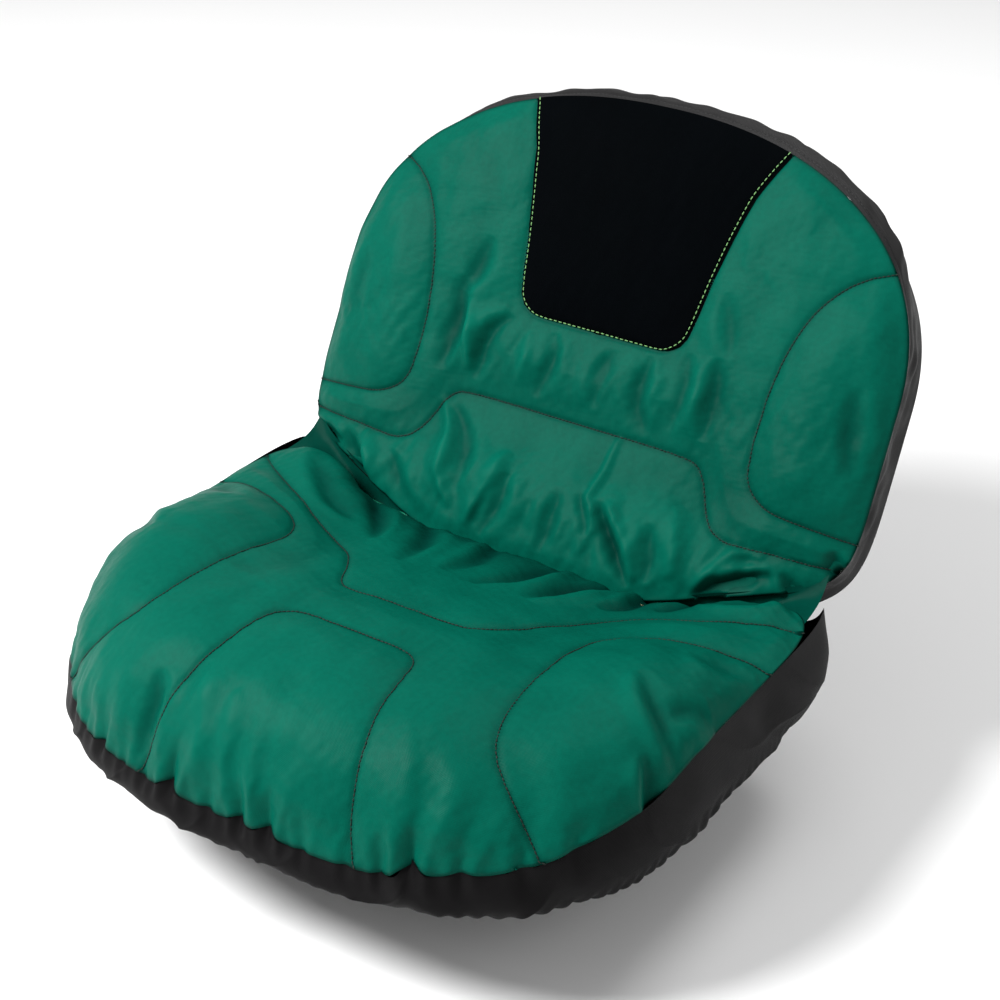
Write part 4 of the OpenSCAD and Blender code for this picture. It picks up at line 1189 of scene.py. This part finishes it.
rear_grid = Grid(140, lambda a: back_rim(a, REAR_INSET, REAR_CUT), BACK_HALF, (BACK_MID, BACK_MID),
                 rear_section)
edge_x, edge_t = back_rim(rear_grid.angle, REAR_INSET, REAR_CUT)
x, t = edge_x * rear_grid.share, BACK_MID + (edge_t - BACK_MID) * rear_grid.share
points = rear_place(x, t, 0.0)
chart = np.stack([x, t], -1)
rear_relief = 0.5 + 0.18 * wavy(x, t * 1.4, 80, 41) - 0.3 * np.exp(-((1 - rear_grid.level) / 0.02) ** 2)
rear = made_mesh("rear_cloth", placed(points), rear_grid.faces[:, ::-1].tolist(), black_cloth, chart,
                 rear_relief)
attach(rear, "seat")
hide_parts("cover_rear_panel")
print("rear panel", round(grid_area(points), 4), "m2")

# %% [markdown]
# ## Pocket
#
# A patch pocket is one piece sewn down at its sides and foot and open at the top, where it bags. It
# follows the rear panel's own shape and stands off from it.

# %% Pocket
POCKET_HALF, POCKET_LOW, POCKET_HIGH = 118, 70, 205
POCKET_COLUMNS, POCKET_ROWS = 101, 61
u, v = np.meshgrid(np.linspace(-1, 1, POCKET_COLUMNS), np.linspace(0, 1, POCKET_ROWS), indexing="ij")
x, t = u * POCKET_HALF, POCKET_LOW + (POCKET_HIGH - POCKET_LOW) * v
loose = (1 - u ** 4) * ease(v / 0.3)
bag = loose * (1.2 + 2.6 * v ** 2 + 0.7 * wavy(x, t, 46, 51))
points = rear_place(x, t, 0.9 + bag)
chart = np.stack([x, t], -1)
pocket = made_mesh("pocket_cloth", placed(points), grid_faces(POCKET_COLUMNS, POCKET_ROWS, flip=True),
                   black_cloth, chart, 0.5 + 0.2 * wavy(x, t, 46, 51) * loose)
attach(pocket, "seat")
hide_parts("rear_pocket")
pocket_edge = points[:, -1]

# %% [markdown]
# ## Cords, stitches and springs
#
# What follows a path is made with Geometry Nodes: a cord is a circle swept along it, a row of stitches
# is one small bead of thread instanced along it, and a spring is a circle swept along a helix.


# %% Geometry Nodes helpers
def new_tree(name, sizes):
    """A node group with Geometry in and out, and one named number input for each size."""
    tree = bpy.data.node_groups.new(name, "GeometryNodeTree")
    tree.interface.new_socket("Geometry", in_out="INPUT", socket_type="NodeSocketGeometry")
    for size in sizes:
        tree.interface.new_socket(size, in_out="INPUT", socket_type="NodeSocketFloat")
    tree.interface.new_socket("Geometry", in_out="OUTPUT", socket_type="NodeSocketGeometry")
    return tree, tree.nodes.new("NodeGroupInput").outputs, tree.nodes.new("NodeGroupOutput").inputs[0]


def closing(tree, geometry, material, out):
    """Realizes the instances, smooths them, sets the material and ends the tree."""
    real = add(tree, "GeometryNodeRealizeInstances", {"Geometry": geometry}).outputs[0]
    smooth = add(tree, "GeometryNodeSetShadeSmooth", {"Geometry": real}).outputs[0]
    done = add(tree, "GeometryNodeSetMaterial", {"Geometry": smooth})
    done.inputs["Material"].default_value = material
    tree.links.new(done.outputs[0], out)


def grown(name, lines, tree, values):
    """Runs a tree on polylines given in metres and keeps its result as a plain mesh."""
    points = np.concatenate([np.asarray(line, float) for line in lines])
    edges, start = [], 0
    for line in lines:
        edges += [(start + k, start + k + 1) for k in range(len(line) - 1)]
        start += len(line)
    path = bpy.data.meshes.new(name + "_path")
    path.from_pydata(points.tolist(), edges, [])
    source = bpy.data.objects.new(name + "_path", path)
    scene.collection.objects.link(source)
    modifier = source.modifiers.new("grow", "NODES")
    modifier.node_group = tree
    for item in tree.interface.items_tree:
        if item.in_out == "INPUT" and item.name in values:
            modifier[item.identifier] = values[item.name]
    shown = source.evaluated_get(bpy.context.evaluated_depsgraph_get())
    mesh = bpy.data.meshes.new_from_object(shown)
    mesh.name = name
    thing = bpy.data.objects.new(name, mesh)
    scene.collection.objects.link(thing)
    bpy.data.objects.remove(source)
    print(name, len(mesh.polygons), "faces")
    return thing


def swept_line(tree, given, spacing):
    """The tree's own line as a curve with evenly spaced points."""
    curve = add(tree, "GeometryNodeMeshToCurve", {"Mesh": given["Geometry"]}).outputs[0]
    return add(tree, "GeometryNodeResampleCurve", {"Curve": curve, "Length": given[spacing]},
               mode="LENGTH").outputs[0]


def cord_tree(name, material, sides):
    """A cord: a circle swept along the line."""
    tree, given, out = new_tree(name, ["Radius", "Step"])
    ring = add(tree, "GeometryNodeCurvePrimitiveCircle", {"Resolution": sides, "Radius": given["Radius"]})
    swept = add(tree, "GeometryNodeCurveToMesh", {"Curve": swept_line(tree, given, "Step"),
                "Profile Curve": ring.outputs[0], "Fill Caps": True}).outputs[0]
    closing(tree, swept, material, out)
    return tree


def stitch_tree(name, material):
    """A row of stitches: one bead of thread, laid along the line at every pitch."""
    tree, given, out = new_tree(name, ["Pitch", "Length", "Width"])
    even = swept_line(tree, given, "Pitch")
    bead = add(tree, "GeometryNodeMeshUVSphere", {"Segments": 6, "Rings": 4, "Radius": 0.5}).outputs["Mesh"]
    tangent = add(tree, "GeometryNodeInputTangent").outputs[0]
    aim_along = add(tree, "FunctionNodeAlignRotationToVector", {"Vector": tangent}, axis="Z").outputs[0]
    size = add(tree, "ShaderNodeCombineXYZ", {"X": given["Width"], "Y": given["Width"], "Z": given["Length"]})
    beads = add(tree, "GeometryNodeInstanceOnPoints", {"Points": even, "Instance": bead,
                "Rotation": aim_along, "Scale": size.outputs[0]}).outputs[0]
    closing(tree, beads, material, out)
    return tree


# %% Paths on the panels
def on_panel(line, outer, chart, normal, lift):
    """Carries a line of the panel's chart onto the panel, lift millimetres above it, in metres."""
    flat, place, up = chart.reshape(-1, 2), outer.reshape(-1, 3), normal.reshape(-1, 3)
    made = []
    for p in line:
        d = ((flat - p) ** 2).sum(1)
        near = np.argpartition(d, 6)[:6]
        w = 1 / (d[near] + 0.3)
        made.append(((place[near] + up[near] * lift) * w[:, None]).sum(0) / w.sum())
    return placed(made)


SEAM_STEP = 2.5
seat_lines = [on_panel(smooth_line(s, SEAM_STEP), seat_outer, seat_chart, seat_normal, 0.15)
              for s in seat_seams]
back_lines_3d = [on_panel(smooth_line(s, SEAM_STEP), back_outer, back_chart, back_normal, 0.15)
                 for s in back_seams]
gusset_line = placed(gusset_points[2:-2, 4])
head_inner = [(x * 0.985, t + 1.6) for x, t in head_line]
head_seam = on_panel(smooth_line(head_inner, SEAM_STEP), head_points, head_chart, head_normal, 0.3)

# %% [markdown]
# ## Rows of stitches
#
# Dark thread lies nearly end to end in the seams, so it reads as a fine line. Pale thread is spaced
# out along the head panel, where it is meant to be seen. Grey thread holds the gusset and the pocket.

# %% Rows of stitches
dark_stitches = stitch_tree("dark_stitch_rows", dark_thread)
seams = grown("seam_stitches", seat_lines + back_lines_3d, dark_stitches,
              {"Pitch": 0.0031, "Length": 0.0030, "Width": 0.0011})
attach(seams, "seat")
pale = grown("head_stitches", [head_seam], stitch_tree("pale_stitch_rows", pale_thread),
             {"Pitch": 0.0042, "Length": 0.0032, "Width": 0.0010})
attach(pale, "seat")
POCKET_HEM, POCKET_LIFT = 3.0, 1.7
side_x, foot_t, mouth_t = POCKET_HALF - POCKET_HEM, POCKET_LOW + POCKET_HEM, POCKET_HIGH - 2


def pocket_row(x, t):
    """A row of stitches on the pocket, in metres."""
    return placed(rear_place(x, t, POCKET_LIFT))


pocket_rows = [pocket_row(np.full(40, -side_x), np.linspace(mouth_t, foot_t, 40)),
               pocket_row(np.linspace(-side_x, side_x, 70), np.full(70, foot_t)),
               pocket_row(np.full(40, side_x), np.linspace(foot_t, mouth_t, 40))]
grey_rows = grown("cover_topstitching", [gusset_line] + pocket_rows, stitch_tree("grey_stitch_rows", grey_thread),
                  {"Pitch": 0.0036, "Length": 0.0030, "Width": 0.0009})
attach(grey_rows, "seat")

# %% [markdown]
# ## The crease
#
# Cushion and back are sewn to one strip of cloth that turns in between them, and a thin piping marks
# the cushion's edge. The strip is what closes the crease, so it reaches from rim to rim.

# %% Crease strip
STRIP_HALF, TUCK = 233, 0.985
STRIP_COLUMNS, STRIP_ROWS = 241, 17
strip_x = np.linspace(-STRIP_HALF, STRIP_HALF, STRIP_COLUMNS)
turn = np.radians(np.linspace(172, 8, 1201))
edge_x, edge_y = seat_rim(turn, 0.0)
from_y = np.interp(strip_x, edge_x, edge_y)
from_z = panel_seam(strip_x, from_y)
foot = back_surface(np.full(1201, TUCK), -turn, lift=2.5)[0]
to_y, to_z = [np.interp(strip_x * TUCK, foot[:, 0], foot[:, axis]) for axis in (1, 2)]
k = np.linspace(0, 1, STRIP_ROWS)[None, :]
dip = np.sin(math.pi * k)
points = np.stack([strip_x[:, None] * (1 - (1 - TUCK) * k),
                   from_y[:, None] * (1 - k) + to_y[:, None] * k + 5 * dip,
                   from_z[:, None] * (1 - k) + to_z[:, None] * k - 5 * dip], -1)
points[..., 1] += 0.8 * wavy(strip_x, 0 * strip_x, 30, 61)[:, None] * dip
chart = np.stack([points[..., 0], points[..., 2] + points[..., 1]], -1)
# Painted shade: the strip's relief is low all over, so it takes the deep colour of the shaded crease.
crease = made_mesh("crease_strip", placed(points), grid_faces(STRIP_COLUMNS, STRIP_ROWS), green_cloth,
                   chart, np.full((STRIP_COLUMNS, STRIP_ROWS), 0.2))
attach(crease, "seat")

# %% [markdown]
# ## Piping, elastic and binding
#
# Three cords are swept along lines that are already known: a thin piping along the cushion's rear rim,
# round elastic inside the turned-in hem, and a binding over the pocket's open edge.

# %% Cord materials and cords
PIPING_HALF, PIPING_END = 200, 150
piping_x = np.linspace(-PIPING_HALF, PIPING_END, 121)
piping_y = np.interp(piping_x, edge_x, edge_y)
piping_line = np.stack([piping_x, piping_y + 0.5, panel_seam(piping_x, piping_y) + 5.5], -1)
piping = grown("crease_piping", [placed(piping_line)], cord_tree("piping", thread_finish("piping_cloth",
               (0.003, 0.15, 0.085)), 12), {"Radius": 0.0021, "Step": 0.004})
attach(piping, "seat")
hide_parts("crease_welt")

elastic_inset = HEM_TUCK + 2.5 + 0.6
ring_x, ring_y = seat_rim(around, elastic_inset, SKIRT_REAR, 0)
ring_line = np.stack([ring_x, ring_y, np.full(len(ring_x), 2.8)], -1)
ring_line = np.concatenate([ring_line, ring_line[:1]])
elastic = grown("hem_cord", [placed(ring_line)], cord_tree("elastic", thread_finish("elastic_webbing",
                (0.008, 0.008, 0.008), (0.4, 1.6)), 12), {"Radius": 0.0025, "Step": 0.005})
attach(elastic, "seat")
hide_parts("hem_elastic")

binding = grown("pocket_binding", [placed(pocket_edge)], cord_tree("binding", thread_finish("binding_tape",
                (0.012, 0.012, 0.012)), 10), {"Radius": 0.0016, "Step": 0.004})
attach(binding, "seat")

# %% [markdown]
# ## The foams
#
# Under the cover lie two moulded foam pads. They are seen only from below and between the panels, but
# each is a real closed pad with the pores and the yellowed skin of open-cell foam.


# %% Foam material and pads
def foam_finish():
    """Open-cell foam: aged yellow patches, with its pores darkened as painted shade."""
    material, tree, shader = new_material("open_cell_foam")
    place = add(tree, "ShaderNodeTexCoord").outputs["Object"]
    pores = add(tree, "ShaderNodeTexVoronoi", {"Vector": place, "Scale": 420.0}).outputs["Distance"]
    aged = blended(tree, noise(tree, place, 12.0, 3.0), (0.62, 0.50, 0.24, 1), (0.74, 0.66, 0.40, 1))
    # Painted shade: the pores are blended towards a dark brown, as the shade inside them.
    pitted = blended(tree, ranged(tree, pores, 0.0, 0.5, 0.55, 0.0), aged, (0.30, 0.22, 0.09, 1))
    tree.links.new(pitted, shader.inputs["Base Color"])
    bumped(tree, shader, pores, 0.6, 0.0008)
    shader.inputs["Roughness"].default_value = 0.9
    shader.inputs["Specular IOR Level"].default_value = 0.15
    return material


foam_material = foam_finish()
FOAM_RINGS = (1.0, 0.97, 0.8, 0.5, 0.2)
FOAM_FLOOR = 12.4
foam_seat = seat_grid(FOAM_CELLS)
top = seat_surface(foam_seat.share, foam_seat.angle, lift=12.0, inset=16.0)
rim_angle = foam_seat.angle.ravel()[foam_seat.rim]
wall_x, wall_y = seat_rim(rim_angle, 22.0)
under = [np.stack([wall_x * k, MIDDLE_Y + (wall_y - MIDDLE_Y) * k, np.full(len(wall_x), FOAM_FLOOR)], -1)
         for k in FOAM_RINGS]
top[..., 2] -= 4 * foam_seat.level ** 10
seat_foam = padded_piece("seat_foam_pad", foam_seat, top, under, top[..., :2], np.full(top.shape[:2], 0.5),
                         foam_material)
foam_back = back_grid(FOAM_CELLS)
rim_angle = foam_back.angle.ravel()[foam_back.rim]


def back_layer(share, angle, inset, h, foot_cut=0.0):
    """Points of the back's foam, at a height h from its reference line."""
    x, t = back_rim(angle, inset, foot_cut)
    return back_point(x * share, BACK_MID + (t - BACK_MID) * share, h)


FOAM_INSET, FOAM_WALL_INSET = 14.0, 20.0
x, t = back_rim(foam_back.angle, FOAM_INSET)
x, t = x * foam_back.share, BACK_MID + (t - BACK_MID) * foam_back.share
top = back_layer(foam_back.share, foam_back.angle, FOAM_INSET,
                 (back_front(x, t) - 13) * (1 - foam_back.share ** 6) - 1)
under = [back_layer(1.0, rim_angle, FOAM_WALL_INSET, -6, 24.0)]
under += [back_layer(k, rim_angle, FOAM_WALL_INSET, -36.0, 40.0) for k in FOAM_RINGS]
back_foam = padded_piece("back_foam_pad", foam_back, top, under, np.stack([x, t], -1),
                         np.full(x.shape, 0.5), foam_material)
for pad, node in ((seat_foam, "seat_foam"), (back_foam, "back_foam")):
    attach(pad, "seat")
    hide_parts(node)
    print(pad.name, len(pad.data.polygons), "faces")

# %% [markdown]
# ## Hard parts
#
# The frame's steel, nylon, rubber and plastic parts keep their CAD shape. Each gets a node material of
# its own, a small bevel so that its edges catch light, and smooth shading across its round faces.


# %% Hard materials
def hard_finish(name, colour, second, metal, rough, grain, bump, wear):
    """A hard surface: two mottled colours, uneven roughness, grain in the bump, and scuffed patches."""
    material, tree, shader = new_material(name)
    place = add(tree, "ShaderNodeTexCoord").outputs["Object"]
    broad = noise(tree, place, 14.0, 5.0)
    fine = noise(tree, place, grain, 3.0)
    scuff = add(tree, "ShaderNodeTexVoronoi", {"Vector": place, "Scale": 38.0}).outputs["Distance"]
    mixed = blended(tree, broad, (*colour, 1), (*second, 1))
    worn = blended(tree, ranged(tree, scuff, 0.55, 0.9, 0.0, 0.5), mixed, (*wear, 1))
    tree.links.new(worn, shader.inputs["Base Color"])
    uneven = ranged(tree, broad, 0.3, 0.7, rough - 0.08, rough + 0.1)
    tree.links.new(uneven, shader.inputs["Roughness"])
    bumped(tree, shader, fine, bump, 0.0003)
    shader.inputs["Metallic"].default_value = metal
    return material


finishes = {
    "black_steel": hard_finish("powder_coated_steel", (0.013, 0.0135, 0.0145), (0.022, 0.022, 0.023), 0.0, 0.42,
                               900, 0.35, (0.035, 0.034, 0.033)),
    "zinc_steel": hard_finish("zinc_plated_steel", (0.52, 0.53, 0.55), (0.66, 0.66, 0.63), 1.0, 0.36, 240, 0.12,
                              (0.45, 0.44, 0.40)),
    "spring_steel": hard_finish("phosphated_spring_steel", (0.20, 0.205, 0.22), (0.30, 0.30, 0.31), 1.0, 0.4, 300,
                                0.15, (0.22, 0.18, 0.14)),
    "nylon": hard_finish("natural_nylon", (0.70, 0.67, 0.57), (0.80, 0.78, 0.70), 0.0, 0.45, 420, 0.1,
                         (0.60, 0.56, 0.46)),
    "black_rubber": hard_finish("moulded_rubber", (0.012, 0.012, 0.012), (0.022, 0.021, 0.020), 0.0, 0.8, 700, 0.4,
                                (0.035, 0.034, 0.032)),
    "black_plastic": hard_finish("satin_black_plastic", (0.012, 0.012, 0.013), (0.020, 0.020, 0.021), 0.0, 0.4, 520,
                                 0.2, (0.035, 0.035, 0.036)),
    "pan_plastic": hard_finish("textured_pan_plastic", (0.018, 0.0185, 0.020), (0.030, 0.030, 0.031), 0.0, 0.6, 330,
                               0.5, (0.045, 0.045, 0.046)),
}

# %% [markdown]
# ## Edges of the hard parts
#
# The frame's meshes are loose triangles. A small tree, left live on each visible hard part, joins them
# and keeps faces smooth up to a sharp angle, and a bevel rounds the sharp edges.

# %% Edge finish
WELD, SHARP_ANGLE = 0.00001, math.radians(32)
BEVEL, BEVEL_ANGLE = 0.0004, math.radians(40)
edge_tree, given, out = new_tree("smooth_edges", ["Weld"])
welded = add(edge_tree, "GeometryNodeMergeByDistance", {"Geometry": given["Geometry"], "Distance": given["Weld"]})
smooth = add(edge_tree, "GeometryNodeSetShadeSmooth", {"Geometry": welded.outputs[0]}).outputs[0]
edge_angle = add(edge_tree, "GeometryNodeInputMeshEdgeAngle").outputs["Unsigned Angle"]
sharp = add(edge_tree, "FunctionNodeCompare", {0: edge_angle, 1: SHARP_ANGLE}, operation="GREATER_THAN")
kept = add(edge_tree, "GeometryNodeSetShadeSmooth", {"Geometry": smooth, "Selection": sharp.outputs[0],
           "Shade Smooth": False}, domain="EDGE")
edge_tree.links.new(kept.outputs[0], out)
slots = {row["node"]: row["material_slot"] for row in frame["record"]["subparts"]}
finished = 0
for name, thing in frame["nodes"].items():
    if thing.hide_render or slots[name] not in finishes:
        continue
    for place in thing.material_slots:
        place.material = finishes[slots[name]]
    tidy = thing.modifiers.new("smooth_edges", "NODES")
    tidy.node_group = edge_tree
    for item in edge_tree.interface.items_tree:
        if item.in_out == "INPUT" and item.name == "Weld":
            tidy[item.identifier] = WELD
    rounded = thing.modifiers.new("small_bevel", "BEVEL")
    rounded.width, rounded.segments, rounded.limit_method = BEVEL, 2, "ANGLE"
    rounded.angle_limit = BEVEL_ANGLE
    finished += 1
print(finished, "hard parts finished")

# %% [markdown]
# ## Coil springs
#
# Four coil springs carry the seat. One helix of round wire is swept and set on four feet, whose places
# come from the CAD springs' boxes. They ride with the tilting frame.

# %% Coil springs
WIRE_R, COIL_R, COIL_TURNS = 0.002, 0.013, 4.5
spring_nodes = ["spring_front_left", "spring_front_right", "spring_rear_left", "spring_rear_right"]
boxes = [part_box(n) for n in spring_nodes]
coil_low, coil_high = boxes[0][0].z + WIRE_R, boxes[0][1].z - WIRE_R
coil_tree, given, out = new_tree("coil_springs", ["Coil Radius", "Wire Radius", "Height", "Turns"])
helix = add(coil_tree, "GeometryNodeCurveSpiral", {"Resolution": 28, "Rotations": given["Turns"],
            "Start Radius": given["Coil Radius"], "End Radius": given["Coil Radius"], "Height": given["Height"]})
wire = add(coil_tree, "GeometryNodeCurvePrimitiveCircle", {"Resolution": 12, "Radius": given["Wire Radius"]})
coil = add(coil_tree, "GeometryNodeCurveToMesh", {"Curve": helix.outputs[0], "Profile Curve": wire.outputs[0],
           "Fill Caps": True}).outputs[0]
posts = add(coil_tree, "GeometryNodeMeshToPoints", {"Mesh": given["Geometry"]}).outputs[0]
coils = add(coil_tree, "GeometryNodeInstanceOnPoints", {"Points": posts, "Instance": coil}).outputs[0]
closing(coil_tree, coils, finishes["spring_steel"], out)
feet = [((lo.x + hi.x) / 2, (lo.y + hi.y) / 2, coil_low) for lo, hi in boxes]
springs = grown("coil_springs", [[foot] for foot in feet], coil_tree, {"Coil Radius": COIL_R,
                "Wire Radius": WIRE_R, "Height": coil_high - coil_low, "Turns": COIL_TURNS})
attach(springs, "tilt")
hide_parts(*spring_nodes)
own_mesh(springs)
